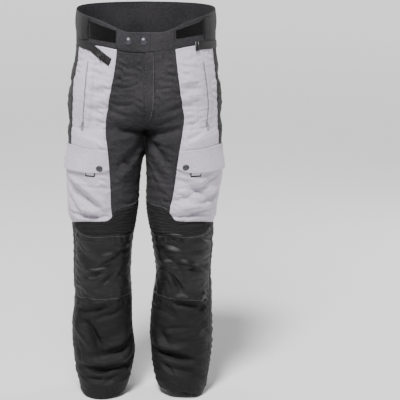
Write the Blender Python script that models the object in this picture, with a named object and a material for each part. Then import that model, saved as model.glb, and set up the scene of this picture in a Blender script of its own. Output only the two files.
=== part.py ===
"""Textile riding trousers in light grey and black cloth, standing open and filled out as worn.

Every wall follows one measured body surface. A place on it is given by the leg (right or left),
the turn (0 at the centre front or inseam, 0.5 at the outer side, 1 at the centre back) and the
height above the hem. Tables hold millimetres; meshes are in metres. +Z is up, the front faces -Y,
the wearer's left is +X, and the origin is in the middle of the waist opening.
"""
import math
from collections import namedtuple

import bmesh
import bpy
import numpy as np
from mathutils import Matrix, Vector

MM = 0.001
RIGHT = -1
LEFT = 1
SIDE_NAME = {RIGHT: "r", LEFT: "l"}

# Driving sizes in millimetres
WAIST_HEIGHT = 1020.0       # origin above the hem
CROTCH_HEIGHT = 745.0       # where the two legs part
RISE_CURVE = 95.0           # height over which the centre seam curves under the crotch
CROTCH_DEPTH = 8.0          # how far the crotch point lies behind the side seam
CLOTH = 2.0                 # thickness of a cloth wall
SEAM_GAP = 0.4              # between two panels
CENTRE_GAP = 0.3            # between the right and the left leg
LAY_GAP = 0.4               # between a panel and a thing that lies on it
LEG_ROUNDNESS = 2.15        # 2 is an ellipse, more is squarer
HIP_ROUNDNESS = 2.3

LegRow = namedtuple("LegRow", "height inner outer front back")
HipRow = namedtuple("HipRow", "height right left front back")
SeamRow = namedtuple("SeamRow", "height right left")
LineRow = namedtuple("LineRow", "turn height")
Fold = namedtuple("Fold", "turn_a height_a turn_b height_b width depth")

# Sections of each leg: how far its inner and outer edge lie from the centre, and its depth
LEG_ROWS = {
    RIGHT: [
        LegRow(0, 58, 178, -86, 74),
        LegRow(26, 47, 184, -82, 76),
        LegRow(75, 35, 195, -74, 78),
        LegRow(120, 28, 200, -69, 80),
        LegRow(190, 35, 204, -69, 79),
        LegRow(280, 36, 194, -77, 76),
        LegRow(350, 39, 197, -87, 76),
        LegRow(440, 33, 196, -98, 80),
        LegRow(530, 19, 203, -107, 90),
        LegRow(620, 12, 206, -115, 104),
        LegRow(690, 2, 207, -124, 122),
        LegRow(745, 0, 207, -130, 136),
        LegRow(840, 0, 206, -138, 152),
    ],
    LEFT: [
        LegRow(0, 48, 164, -86, 74),
        LegRow(26, 34, 172, -82, 76),
        LegRow(75, 22, 181, -74, 78),
        LegRow(120, 17, 186, -69, 80),
        LegRow(190, 14, 188, -69, 79),
        LegRow(280, 22, 184, -77, 76),
        LegRow(350, 30, 181, -87, 76),
        LegRow(440, 19, 187, -98, 80),
        LegRow(530, 4, 188, -107, 90),
        LegRow(620, 4, 202, -115, 104),
        LegRow(690, 1, 206, -124, 122),
        LegRow(745, 0, 207, -130, 136),
        LegRow(840, 0, 206, -138, 152),
    ],
}

# Sections of hips and waist
HIP_ROWS = [
    HipRow(745, 207, 206, -130, 136),
    HipRow(810, 206, 206, -137, 148),
    HipRow(880, 200, 200, -140, 155),
    HipRow(920, 190, 194, -138, 150),
    HipRow(962, 184, 189, -134, 142),
    HipRow(1014, 183, 188, -130, 136),
    HipRow(1080, 182, 187, -127, 132),
]

# Upright seams. The first table gives distances from the centre across the front, the next four
# give depths on the outer side, and the last gives distances from the centre across the back.
INNER_GREY_SEAM = [
    SeamRow(500, 84, 64),
    SeamRow(550, 90, 67),
    SeamRow(586, 91, 75),
    SeamRow(640, 93, 82),
    SeamRow(710, 98, 91),
    SeamRow(752, 103, 98),
    SeamRow(792, 101, 102),
    SeamRow(854, 91, 93),
    SeamRow(920, 78, 84),
    SeamRow(985, 71, 77),
]
GREY_MESH_SEAM = [SeamRow(668, -62, -62), SeamRow(760, -58, -58), SeamRow(880, -52, -52), SeamRow(1000, -46, -46)]
MESH_SEAT_SEAM = [SeamRow(668, 50, 50), SeamRow(1030, 46, 46)]
KNEE_SEAM = [SeamRow(0, -34, -34), SeamRow(280, -36, -36), SeamRow(440, -50, -50), SeamRow(510, -62, -62)]
CALF_SEAM = [SeamRow(0, 10, 10), SeamRow(150, 16, 16), SeamRow(280, 22, 22), SeamRow(480, 46, 46),
             SeamRow(668, 50, 50)]
POCKET_BACK_SEAM = [SeamRow(460, 104, 102), SeamRow(700, 108, 108)]

# Level seams, as heights along the turn
HEM_LINE = {
    RIGHT: [LineRow(0, 12), LineRow(0.12, 8), LineRow(0.33, 2), LineRow(0.5, 4), LineRow(0.75, 10), LineRow(1, 12)],
    LEFT: [LineRow(0, 22), LineRow(0.15, 19), LineRow(0.27, 20), LineRow(0.38, 2), LineRow(0.5, 3),
           LineRow(0.75, 9), LineRow(1, 22)],
}
KNEE_LOW_LINE = [LineRow(0, 290), LineRow(0.2, 284), LineRow(0.45, 280)]
RIB_LOW_LINE = [LineRow(0, 470), LineRow(0.14, 472), LineRow(0.2, 477), LineRow(0.3, 474), LineRow(0.36, 478),
                LineRow(0.42, 488)]
THIGH_LINE = [
    LineRow(0, 552), LineRow(0.1, 546), LineRow(0.17, 543), LineRow(0.195, 535), LineRow(0.222, 515),
    LineRow(0.26, 511), LineRow(0.33, 508), LineRow(0.42, 498), LineRow(0.5, 488), LineRow(0.65, 478),
    LineRow(0.8, 486), LineRow(1, 494),
]
POCKET_TOP = 668.0
RIB_BACK_LOW = 925.0
YOKE_LOW = 968.0
WAIST_SEAM_LINE = [
    LineRow(0, 962), LineRow(0.07, 964), LineRow(0.14, 969), LineRow(0.23, 976), LineRow(0.32, 977),
    LineRow(0.42, 975), LineRow(0.5, 977), LineRow(0.6, 986), LineRow(0.7, 996), LineRow(0.85, 1004),
    LineRow(1, 1006),
]
WAIST_TOP_LINE = [
    LineRow(0, 1014), LineRow(0.095, 1015), LineRow(0.13, 1021), LineRow(0.23, 1042), LineRow(0.385, 1059),
    LineRow(0.5, 1066), LineRow(0.7, 1073), LineRow(1, 1076),
]
BACK_STATIONS = (0.66, 0.728, 0.796, 0.864, 0.932)    # the back of the waistband starts at the first
TURN_GAP = 0.0012           # a seam's gap as a share of the turn
RIB_DEPTH = 1.6

# Folds of the cloth, from one end to the other; a negative depth is a trough
FOLDS = {
    RIGHT: [
        Fold(0.36, 294, 0.30, 266, 11, -4),
        Fold(0.42, 248, 0.20, 264, 12, -5),
        Fold(0.42, 264, 0.22, 281, 13, 4),
        Fold(0.30, 230, 0.12, 260, 11, -4),
        Fold(0.39, 238, 0.24, 146, 15, -5),
        Fold(0.43, 210, 0.29, 130, 15, 4),
        Fold(0.26, 118, 0.09, 158, 14, -5),
        Fold(0.25, 140, 0.10, 180, 15, 3),
        Fold(0.38, 82, 0.09, 94, 13, -7),
        Fold(0.40, 104, 0.10, 120, 14, 5),
        Fold(0.36, 60, 0.12, 68, 12, -4),
        Fold(0.38, 424, 0.20, 382, 15, -4),
        Fold(0.31, 356, 0.15, 414, 15, -4),
        Fold(0.30, 396, 0.12, 440, 14, 3),
        Fold(0.26, 322, 0.17, 372, 12, -3),
        Fold(0.20, 760, 0.04, 748, 15, -4),
        Fold(0.17, 820, 0.06, 820, 15, -3),
        Fold(0.06, 738, 0.20, 660, 16, -4),
        Fold(0.09, 700, 0.20, 620, 16, 3),
        Fold(0.27, 858, 0.17, 858, 15, -3),
        Fold(0.28, 812, 0.17, 815, 15, -3),
        Fold(0.45, 610, 0.27, 556, 15, -4),
        Fold(0.41, 528, 0.23, 528, 11, -3),
        Fold(0.62, 900, 0.42, 860, 18, -3),
        Fold(0.60, 800, 0.43, 760, 18, -3),
    ],
    LEFT: [
        Fold(0.17, 276, 0.38, 260, 12, -5),
        Fold(0.18, 292, 0.38, 278, 13, 4),
        Fold(0.12, 264, 0.22, 236, 11, -4),
        Fold(0.28, 232, 0.38, 256, 12, -4),
        Fold(0.12, 198, 0.20, 144, 14, -4),
        Fold(0.30, 212, 0.40, 150, 16, 4),
        Fold(0.07, 130, 0.32, 106, 13, -7),
        Fold(0.08, 152, 0.30, 130, 14, 5),
        Fold(0.15, 90, 0.39, 54, 13, -5),
        Fold(0.13, 460, 0.28, 446, 12, -3),
        Fold(0.13, 412, 0.26, 366, 15, -4),
        Fold(0.25, 366, 0.40, 378, 14, -4),
        Fold(0.16, 362, 0.24, 314, 13, -4),
        Fold(0.04, 748, 0.20, 754, 15, -4),
        Fold(0.06, 740, 0.18, 664, 16, -4),
        Fold(0.09, 704, 0.20, 626, 16, 3),
        Fold(0.17, 866, 0.27, 866, 15, -3),
        Fold(0.17, 818, 0.28, 818, 15, -3),
        Fold(0.22, 626, 0.38, 562, 15, -4),
        Fold(0.22, 534, 0.40, 528, 11, -3),
        Fold(0.44, 900, 0.60, 852, 18, -3),
        Fold(0.44, 780, 0.62, 806, 18, -3),
    ],
}

# Folds of the hidden side, alike on both legs
BACK_FOLDS = [
    Fold(0.98, 800, 0.74, 838, 16, -4),
    Fold(0.97, 730, 0.72, 780, 18, -4),
    Fold(0.95, 690, 0.70, 712, 16, 3),
    Fold(0.94, 650, 0.70, 620, 16, -4),
    Fold(0.96, 470, 0.66, 448, 14, -5),
    Fold(0.92, 430, 0.62, 418, 14, -5),
    Fold(0.93, 452, 0.66, 434, 14, 4),
    Fold(0.90, 395, 0.64, 372, 14, -4),
    Fold(0.52, 420, 0.66, 398, 14, -3),
    Fold(0.50, 240, 0.74, 262, 14, -4),
    Fold(0.94, 240, 0.72, 208, 14, -4),
    Fold(0.50, 170, 0.72, 140, 15, -4),
    Fold(0.92, 130, 0.66, 104, 14, -5),
    Fold(0.94, 86, 0.52, 66, 13, -5),
    Fold(0.72, 320, 0.93, 300, 15, -3),
    Fold(0.76, 600, 0.50, 560, 14, -3),
]

# Bellows of the thigh pocket: it stands out from the leg between its seams
POCKET_BULGE = 7.0
POCKET_EDGE = 28.0          # width of the swelling along each side
POCKET_BULGE_TOP = 708.0    # the swelling starts at the top of the flap
POCKET_BULGE_FALL = 62.0    # and is full this far below it

# Where the pocket flap holds the cloth smooth, and the width over which that fades
HOLD_LOW, HOLD_LOW_FADE = 620.0, 22.0
HOLD_HIGH, HOLD_HIGH_FADE = 745.0, 30.0
HOLD_FRONT, HOLD_FRONT_FADE = 0.19, 0.04
HOLD_BACK, HOLD_BACK_FADE = 0.70, 0.05

FOLD_SEAM_FADE = 30.0       # folds start this far from the inseam and the centre seams
FOLD_REACH = 0.6            # a fold dies away at this share of its length from its middle
NORMAL_TURN_REACH = 4.0     # the outward direction is read over this distance along the turn
NORMAL_RISE = 1.5           # and over this height, or more above the crotch
NORMAL_RISE_TOP = 3.0

# Colour, roughness and metallic value of each finish
FINISHES = {
    "grey_cloth": ("C6C0CC", 0.75, 0.0),
    "black_cloth": ("2E2C2D", 0.75, 0.0),
    "black_mesh": ("242324", 0.8, 0.0),
    "stretch_cloth": ("2A292B", 0.7, 0.0),
    "knee_cloth": ("343334", 0.55, 0.0),
    "hook_loop": ("171617", 0.95, 0.0),
    "webbing": ("232223", 0.7, 0.0),
    "black_plastic": ("1D1D1E", 0.45, 0.0),
    "dark_metal": ("5C5C60", 0.35, 1.0),
    "reflective_film": ("D4D5D6", 0.4, 0.0),
}


def hermite(rows, value):
    """A smooth curve through the rows of a table, read at one value of its first column."""
    table = np.array(rows, float)
    value = min(max(value, table[0, 0]), table[-1, 0])
    k = int(np.clip(np.searchsorted(table[:, 0], value) - 1, 0, len(table) - 2))

    def slope(i):
        before, after = max(i - 1, 0), min(i + 1, len(table) - 1)
        return (table[after] - table[before]) / (table[after, 0] - table[before, 0])

    step = table[k + 1, 0] - table[k, 0]
    f = (value - table[k, 0]) / step
    start = (2 * f**3 - 3 * f**2 + 1) * table[k] + (f**3 - 2 * f**2 + f) * step * slope(k)
    end = (3 * f**2 - 2 * f**3) * table[k + 1] + (f**3 - f**2) * step * slope(k + 1)
    return start + end


def line_height(rows, turn):
    """Height of a level seam at one turn."""
    return float(hermite(rows, turn)[1])


def smooth_step(value):
    value = min(max(value, 0.0), 1.0)
    return value * value * (3 - 2 * value)


def rounded(values, roundness):
    return np.sign(values) * np.abs(values) ** (2.0 / roundness)


SECTION_STEPS = 160
sections = {}


def section(side, height):
    """Half outline at one height: its points, and the distance along it to each."""
    key = (side, round(height, 2))
    if key in sections:
        return sections[key]
    share = np.linspace(0, 1, SECTION_STEPS + 1)
    inner, outer, front, back = hermite(LEG_ROWS[side], height)[1:]
    angle = 2 * math.pi * share
    x = (inner + outer) / 2 - (outer - inner) / 2 * rounded(np.cos(angle), LEG_ROUNDNESS)
    y = (front + back) / 2 + (front - back) / 2 * rounded(np.sin(angle), LEG_ROUNDNESS)
    if height > CROTCH_HEIGHT:
        drop = 1 - min((height - CROTCH_HEIGHT) / RISE_CURVE, 1)
        opening = math.sqrt(1 - drop * drop)
        right, left, front, back = hermite(HIP_ROWS, height)[1:]
        wide = right if side == RIGHT else left
        cosine = rounded(np.cos(math.pi * share), HIP_ROUNDNESS)
        hip_x = wide * rounded(np.sin(math.pi * share), HIP_ROUNDNESS)
        reach = np.where(cosine > 0, front - CROTCH_DEPTH, CROTCH_DEPTH - back)
        x = x * (1 - opening) + hip_x * opening
        y = y * (1 - opening) + (CROTCH_DEPTH + reach * cosine) * opening
    x = np.maximum(x, CENTRE_GAP / 2)
    steps = np.hypot(np.diff(x), np.diff(y))
    sections[key] = (x, y, np.concatenate([[0.0], np.cumsum(steps)]))
    return sections[key]


def girth(side, height):
    return section(side, height)[2][-1]


def base_point(side, turn, height):
    x, y, along = section(side, height)
    place = min(max(turn, 0.0), 1.0) * along[-1]
    return np.array([side * np.interp(place, along, x), np.interp(place, along, y), height])


def base_normal(side, turn, height):
    """Outward direction of the body surface."""
    step_turn = NORMAL_TURN_REACH / girth(side, height)
    step_height = NORMAL_RISE
    if height > CROTCH_HEIGHT:
        step_height = min(NORMAL_RISE_TOP, 0.5 * (height - CROTCH_HEIGHT) + SEAM_GAP)
    across = base_point(side, turn + step_turn, height) - base_point(side, turn - step_turn, height)
    upward = base_point(side, turn, height + step_height) - base_point(side, turn, height - step_height)
    normal = np.cross(across, upward) * side
    return normal / np.linalg.norm(normal)


def fold_relief(side, turn, height):
    """Sum of the folds at one place, fading out towards the inseam and the centre seams."""
    around = girth(side, height)
    edge = smooth_step(min(turn, 1 - turn) * around / FOLD_SEAM_FADE)
    if edge == 0:
        return 0.0
    total = 0.0
    for fold in FOLDS[side] + BACK_FOLDS:
        run = np.array([(fold.turn_b - fold.turn_a) * around, fold.height_b - fold.height_a])
        place = np.array([(turn - fold.turn_a) * around, height - fold.height_a])
        length = np.hypot(*run)
        share = place.dot(run) / length**2
        away = (place[0] * run[1] - place[1] * run[0]) / length
        fade = max(0.0, 1 - ((share - 0.5) / FOLD_REACH) ** 2)
        total += fold.depth * fade * math.exp(-((away / fold.width) ** 2))
    return total * edge * (1 - flap_cover(turn, height))


def flap_cover(turn, height):
    """1 under the pocket flap, which holds the cloth smooth, and 0 away from it."""
    up = smooth_step((height - HOLD_LOW) / HOLD_LOW_FADE) * smooth_step((HOLD_HIGH - height) / HOLD_HIGH_FADE)
    front = smooth_step((turn - HOLD_FRONT) / HOLD_FRONT_FADE)
    return up * front * smooth_step((HOLD_BACK - turn) / HOLD_BACK_FADE)


def pocket_relief(side, turn, height):
    """Swelling of the thigh pocket."""
    low = line_height(THIGH_LINE, turn)
    if not low < height < POCKET_BULGE_TOP:
        return 0.0
    around = girth(side, height)
    left = front_turn(INNER_GREY_SEAM, side, height)
    right = back_turn(POCKET_BACK_SEAM, side, height)
    edges = smooth_step((turn - left) * around / POCKET_EDGE) * smooth_step((right - turn) * around / POCKET_EDGE)
    rise = smooth_step((height - low) / POCKET_EDGE)
    fall = smooth_step((POCKET_BULGE_TOP - height) / POCKET_BULGE_FALL)
    return POCKET_BULGE * edges * rise * fall


def surface(side, turn, height, out=0.0):
    """A point of the garment's outer face, moved out by a distance, in millimetres above the hem."""
    lift = fold_relief(side, turn, height) + pocket_relief(side, turn, height) + out
    point = base_point(side, turn, height) + base_normal(side, turn, height) * lift
    point[0] = side * max(side * point[0], CENTRE_GAP / 2)
    return point


def front_turn(rows, side, height):
    """Turn of an upright seam that is given by its distance from the centre, on the front."""
    x, y, along = section(side, height)
    widest = int(np.argmax(x))
    place = hermite(rows, height)[1 if side == RIGHT else 2]
    return float(np.interp(place, x[:widest + 1], along[:widest + 1]) / along[-1])


def back_turn(rows, side, height):
    """The same on the back."""
    x, y, along = section(side, height)
    widest = int(np.argmax(x))
    place = hermite(rows, height)[1 if side == RIGHT else 2]
    return float(np.interp(-place, -x[widest:], along[widest:]) / along[-1])


def side_turn(rows, side, height):
    """Turn of an upright seam that is given by its depth, on the outer side."""
    x, y, along = section(side, height)
    first, last = int(np.argmin(y)), int(np.argmax(y))
    place = hermite(rows, height)[1 if side == RIGHT else 2]
    return float(np.interp(place, y[first:last + 1], along[first:last + 1]) / along[-1])


def upright(rows, kind):
    """An upright seam as a function of leg and height."""
    return lambda side, height: kind(rows, side, height)


def level(rows):
    """A level seam as a function of leg and turn."""
    if isinstance(rows, dict):
        return lambda side, turn: line_height(rows[side], turn)
    if isinstance(rows, (int, float)):
        return lambda side, turn: float(rows)
    return lambda side, turn: line_height(rows, turn)


def edge_at(turn):
    return lambda side, height: turn


FRONT_EDGE = edge_at(0.0)
BACK_EDGE = edge_at(1.0)
INNER_GREY = upright(INNER_GREY_SEAM, front_turn)
GREY_MESH = upright(GREY_MESH_SEAM, side_turn)
MESH_SEAT = upright(MESH_SEAT_SEAM, side_turn)
KNEE_OUTER = upright(KNEE_SEAM, side_turn)
CALF_OUTER = upright(CALF_SEAM, side_turn)
POCKET_BACK = upright(POCKET_BACK_SEAM, back_turn)
HEM = level(HEM_LINE)
KNEE_LOW = level(KNEE_LOW_LINE)
RIB_LOW = level(RIB_LOW_LINE)
THIGH = level(THIGH_LINE)
POCKET_SEAM = level(POCKET_TOP)
WAIST_SEAM = level(WAIST_SEAM_LINE)
WAIST_TOP = level(WAIST_TOP_LINE)


def patch(side, stops, low, high, row_shares, gap=SEAM_GAP):
    """Places of a panel, in rows from its lower to its upper seam.

    The stops are upright seams, from the panel's first edge to its last, with the number of
    columns between each two, such as (FRONT_EDGE, 4, INNER_GREY).
    """
    seams, counts = stops[0::2], stops[1::2]
    columns = [(k, i / n) for k, n in enumerate(counts) for i in range(n)] + [(len(counts) - 1, 1.0)]
    grid = []
    for share in row_shares:
        row = []
        for k, part in columns:
            turn = 0.5
            for _ in range(6):
                bottom, top = low(side, turn) + gap / 2, high(side, turn) - gap / 2
                height = bottom + (top - bottom) * share
                inset = gap / 2 / girth(side, height)
                turns = [seam(side, height) for seam in seams]
                turns[0] += inset
                turns[-1] -= inset
                turn = turns[k] + (turns[k + 1] - turns[k]) * part
            row.append((side, turn, height))
        grid.append(row)
    return grid


def even(count):
    return [j / count for j in range(count + 1)]


def band(stations, low, high, row_shares, gap=SEAM_GAP, end_seam=None):
    """Places of a piece that crosses from one leg's half to the other's.

    The stations are pairs of leg and turn; its two ends may follow an upright seam instead.
    """
    grid = []
    for share in row_shares:
        row = []
        for side, turn in stations:
            bottom, top = low(side, turn) + gap / 2, high(side, turn) - gap / 2
            height = bottom + (top - bottom) * share
            if end_seam and (side, turn) in (stations[0], stations[-1]):
                turn = end_seam(side, height) + gap / 2 / girth(side, height)
            row.append((side, turn, height))
        grid.append(row)
    return grid


def metres(point):
    return Vector((point[0] * MM, point[1] * MM, (point[2] - WAIST_HEIGHT) * MM))


def linear(hex_colour):
    """sRGB hex colour as linear red, green, blue and alpha."""
    channels = [int(hex_colour[k:k + 2], 16) / 255 for k in (0, 2, 4)]
    return [c / 12.92 if c <= 0.04045 else ((c + 0.055) / 1.055) ** 2.4 for c in channels] + [1.0]


def add_object(name, finish, mesh):
    colour, roughness, metallic = FINISHES[finish]
    material = bpy.data.materials.new(name + "_" + finish)
    material.use_nodes = True
    shader = material.node_tree.nodes["Principled BSDF"]
    shader.inputs["Base Color"].default_value = linear(colour)
    shader.inputs["Roughness"].default_value = roughness
    shader.inputs["Metallic"].default_value = metallic
    mesh.materials.append(material)
    mesh.shade_smooth()
    mesh.set_sharp_from_angle(angle=math.radians(45))
    piece = bpy.data.objects.new(name, mesh)
    bpy.context.scene.collection.objects.link(piece)
    return piece


def wall_mesh(name, outer, inner):
    """A closed wall between two grids of points of the same size."""
    rows, columns = len(outer), len(outer[0])
    work = bmesh.new()
    faces = [[[work.verts.new(p) for p in row] for row in grid] for grid in (outer, inner)]
    for j in range(rows - 1):
        for i in range(columns - 1):
            for grid in faces:
                work.faces.new((grid[j][i], grid[j][i + 1], grid[j + 1][i + 1], grid[j + 1][i]))
    rim = [(0, i) for i in range(columns)] + [(j, columns - 1) for j in range(1, rows)]
    rim += [(rows - 1, i) for i in range(columns - 2, -1, -1)] + [(j, 0) for j in range(rows - 2, 0, -1)]
    for (j, i), (n, m) in zip(rim, rim[1:] + rim[:1]):
        work.faces.new((faces[0][j][i], faces[0][n][m], faces[1][n][m], faces[1][j][i]))
    bmesh.ops.recalc_face_normals(work, faces=work.faces)
    mesh = bpy.data.meshes.new(name)
    work.to_mesh(mesh)
    work.free()
    return mesh


def cloth_wall(name, finish, grid, outside=lambda j, i: 0.0, inside=lambda j, i: -CLOTH):
    """A cloth piece over a grid of places; outside and inside give its two faces' distances."""
    faces = []
    for distance in (outside, inside):
        faces.append([[metres(surface(*place, distance(j, i))) for i, place in enumerate(row)]
                      for j, row in enumerate(grid)])
    return add_object(name, finish, wall_mesh(name, *faces))


def ribbed(depth):
    """Ribs along the rows: every second row stands out."""
    return lambda j, i: depth if j % 2 else 0.0


def laid(low, thick):
    """Faces of a piece that lies on a panel: its inner and its outer face."""
    return (lambda j, i: low + thick), (lambda j, i: low)


def clear_scene():
    for old in list(bpy.data.objects):
        bpy.data.objects.remove(old, do_unlink=True)


CROTCH_ANGLES = (20, 42, 66)


def crotch_shares(low, high, rows_below, rows_above):
    """Row shares of a panel on the centre seam, close together where that seam curves under."""
    curve = [CROTCH_HEIGHT + RISE_CURVE * (1 - math.cos(math.radians(a))) for a in CROTCH_ANGLES]
    top = CROTCH_HEIGHT + RISE_CURVE
    heights = [low + (CROTCH_HEIGHT - low) * j / rows_below for j in range(rows_below)]
    heights += [CROTCH_HEIGHT] + curve + [top + (high - top) * j / rows_above for j in range(rows_above + 1)]
    return [(height - low) / (high - low) for height in heights]


def build_front(side):
    """Centre front panel, grey hip panel and side panel."""
    tag = SIDE_NAME[side]
    rows = crotch_shares(THIGH(side, 0), WAIST_SEAM(side, 0), 9, 6)
    cloth_wall("front_inner_" + tag, "black_cloth",
               patch(side, (FRONT_EDGE, 4, INNER_GREY), THIGH, WAIST_SEAM, rows))
    cloth_wall("front_grey_" + tag, "grey_cloth",
               patch(side, (INNER_GREY, 4, GREY_MESH), POCKET_SEAM, WAIST_SEAM, even(15)))
    cloth_wall("side_mesh_" + tag, "black_mesh",
               patch(side, (GREY_MESH, 4, MESH_SEAT), POCKET_SEAM, WAIST_SEAM, even(11)))


def build_back(side):
    """Seat panel and the back of the thigh."""
    tag = SIDE_NAME[side]
    rows = crotch_shares(POCKET_TOP, RIB_BACK_LOW, 3, 3)
    cloth_wall("seat_" + tag, "black_cloth",
               patch(side, (MESH_SEAT, 7, BACK_EDGE), POCKET_SEAM, level(RIB_BACK_LOW), rows))
    cloth_wall("back_thigh_" + tag, "black_cloth",
               patch(side, (POCKET_BACK, 4, BACK_EDGE), THIGH, POCKET_SEAM, even(7)))


def across_back(turns):
    """Stations from one side over the centre back to the other."""
    return [(RIGHT, t) for t in turns] + [(LEFT, 1.0)] + [(LEFT, t) for t in reversed(turns)]


def build_back_bands():
    """Ribbed stretch panel and yoke across the back, each in one piece."""
    stations = across_back((MESH_SEAT(RIGHT, YOKE_LOW),) + BACK_STATIONS)
    cloth_wall("stretch_back", "stretch_cloth",
               band(stations, level(RIB_BACK_LOW), level(YOKE_LOW), even(10), end_seam=MESH_SEAT),
               outside=ribbed(RIB_DEPTH))
    cloth_wall("yoke", "black_cloth", band(stations, level(YOKE_LOW), WAIST_SEAM, even(2), end_seam=MESH_SEAT))


def build_thigh_pocket(side):
    """Grey bellows pocket round the outer thigh, with its flap."""
    tag = SIDE_NAME[side]
    stops = (INNER_GREY, 4, KNEE_OUTER, 4, CALF_OUTER, 4, POCKET_BACK)
    cloth_wall("cargo_pocket_" + tag, "grey_cloth", patch(side, stops, THIGH, POCKET_SEAM, even(9)))
    stops = (INNER_GREY, 4, KNEE_OUTER, 4, CALF_OUTER, 1, FLAP_BACK)
    grid = patch(side, stops, FLAP_LOW, FLAP_TOP, even(5), gap=0.0)
    outside, inside = laid(FLAP_GAP, CLOTH)
    cloth_wall("cargo_flap_" + tag, "grey_cloth", grid, outside, inside)


FLAP_GAP = 1.2              # the flap stands this far off the pocket, clear of its facets
FLAP_TOP = level([LineRow(0.2, 704), LineRow(0.3, 708), LineRow(0.4, 712), LineRow(0.5, 706),
                  LineRow(0.64, 690)])
FLAP_LOW = level([LineRow(0.2, 655), LineRow(0.25, 655), LineRow(0.27, 646), LineRow(0.36, 647),
                  LineRow(0.5, 642), LineRow(0.6, 630), LineRow(0.64, 640)])
FLAP_BACK = edge_at(0.63)


KNEE_STOPS = (FRONT_EDGE, 4, INNER_GREY, 4, KNEE_OUTER)


def build_lower_leg(side):
    """Ribbed stretch panel above the knee, knee, shin, outer leg and calf."""
    tag = SIDE_NAME[side]
    cloth_wall("knee_stretch_" + tag, "stretch_cloth",
               patch(side, KNEE_STOPS, RIB_LOW, THIGH, even(16)), outside=ribbed(RIB_DEPTH))
    cloth_wall("knee_" + tag, "knee_cloth", patch(side, KNEE_STOPS, KNEE_LOW, RIB_LOW, even(11)))
    cloth_wall("shin_" + tag, "knee_cloth", patch(side, KNEE_STOPS, HEM, KNEE_LOW, even(17)))
    cloth_wall("outer_leg_" + tag, "black_cloth",
               patch(side, (KNEE_OUTER, 4, CALF_OUTER), HEM, THIGH, even(20)))
    cloth_wall("calf_" + tag, "black_cloth",
               patch(side, (CALF_OUTER, 4, POCKET_BACK, 4, BACK_EDGE), HEM, THIGH, even(17)))


TAB_START = 0.140           # turn on the right where the snap tab begins
TAB_END = 0.028             # turn on the left where it ends
UNDER_START = 0.085         # the band under it, from the right
UNDER_END = 0.147           # to the left


def build_waistband():
    """Waistband in sections, with the overlapping snap tab at the front."""
    under = [(RIGHT, UNDER_START), (RIGHT, 0.045), (LEFT, 0.0), (LEFT, TAB_END), (LEFT, 0.068), (LEFT, 0.107),
             (LEFT, UNDER_END)]
    cloth_wall("waist_under_tab", "black_cloth", band(under, WAIST_SEAM, WAIST_TOP, even(3)))
    tab = [(RIGHT, TAB_START), (RIGHT, 0.112), (RIGHT, UNDER_START), (RIGHT, 0.045), (LEFT, 0.0), (LEFT, TAB_END)]
    outside, inside = laid(LAY_GAP, CLOTH)
    cloth_wall("waist_tab", "black_cloth", band(tab, WAIST_SEAM, WAIST_TOP, even(3)), outside, inside)
    for side, start in ((RIGHT, TAB_START), (LEFT, UNDER_END)):
        first, yoke_start = start + TURN_GAP, MESH_SEAT(side, YOKE_LOW)
        turns = [first + (yoke_start - first) * k / 10 for k in range(11)] + [BACK_STATIONS[0] - TURN_GAP]
        cloth_wall("waistband_side_" + SIDE_NAME[side], "black_cloth",
                   band([(side, t) for t in turns], WAIST_SEAM, WAIST_TOP, even(3)))
    cloth_wall("waistband_back", "black_cloth", band(across_back(BACK_STATIONS), WAIST_SEAM, WAIST_TOP, even(3)))


def local_frame(side, turn, height, out, tilt=0.0):
    """Place of a small hard piece: x across, y up and z out of the cloth, tilted in its plane by degrees."""
    normal = Vector(base_normal(side, turn, height))
    up = (Vector((0, 0, 1)) - normal * normal.z).normalized()
    across = up.cross(normal)
    frame = Matrix((across, up, normal)).transposed().to_4x4()
    frame.translation = metres(surface(side, turn, height, out))
    return frame @ Matrix.Rotation(math.radians(tilt), 4, "Z")


def turned(name, finish, frame, profile, steps=14):
    """A round piece from rows of radius and height along its axis."""
    work = bmesh.new()
    rings = []
    for radius, rise in profile:
        angles = [2 * math.pi * k / steps for k in range(steps)]
        points = [(radius * math.cos(a), radius * math.sin(a), rise) for a in angles]
        rings.append([work.verts.new(Vector(p) * MM) for p in points])
    for low, high in zip(rings, rings[1:]):
        for k in range(steps):
            work.faces.new((low[k], low[(k + 1) % steps], high[(k + 1) % steps], high[k]))
    work.faces.new(list(reversed(rings[0])))
    work.faces.new(rings[-1])
    mesh = bpy.data.meshes.new(name)
    work.to_mesh(mesh)
    work.free()
    add_object(name, finish, mesh).matrix_world = frame


def block(name, finish, frame, xs, ys, zs, is_open):
    """A hard piece from the cells of a grid of cuts, in millimetres, without its open cells."""
    counts = (len(xs) - 1, len(ys) - 1, len(zs) - 1)
    work = bmesh.new()
    corners = {}

    def corner(i, j, k):
        if (i, j, k) not in corners:
            corners[i, j, k] = work.verts.new((xs[i] * MM, ys[j] * MM, zs[k] * MM))
        return corners[i, j, k]

    def filled(cell):
        inside = all(0 <= cell[a] < counts[a] for a in range(3))
        return inside and not is_open(*cell)

    for cell in [(i, j, k) for i in range(counts[0]) for j in range(counts[1]) for k in range(counts[2])]:
        if not filled(cell):
            continue
        for axis in range(3):
            for step in (0, 1):
                beside = list(cell)
                beside[axis] += 1 if step else -1
                if filled(beside):
                    continue
                face = []
                for u, v in ((0, 0), (1, 0), (1, 1), (0, 1)):
                    at = list(cell)
                    at[axis] += step
                    at[(axis + 1) % 3] += u
                    at[(axis + 2) % 3] += v
                    face.append(corner(*at))
                work.faces.new(face if step else list(reversed(face)))
    mesh = bpy.data.meshes.new(name)
    work.to_mesh(mesh)
    work.free()
    add_object(name, finish, mesh).matrix_world = frame


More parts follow.
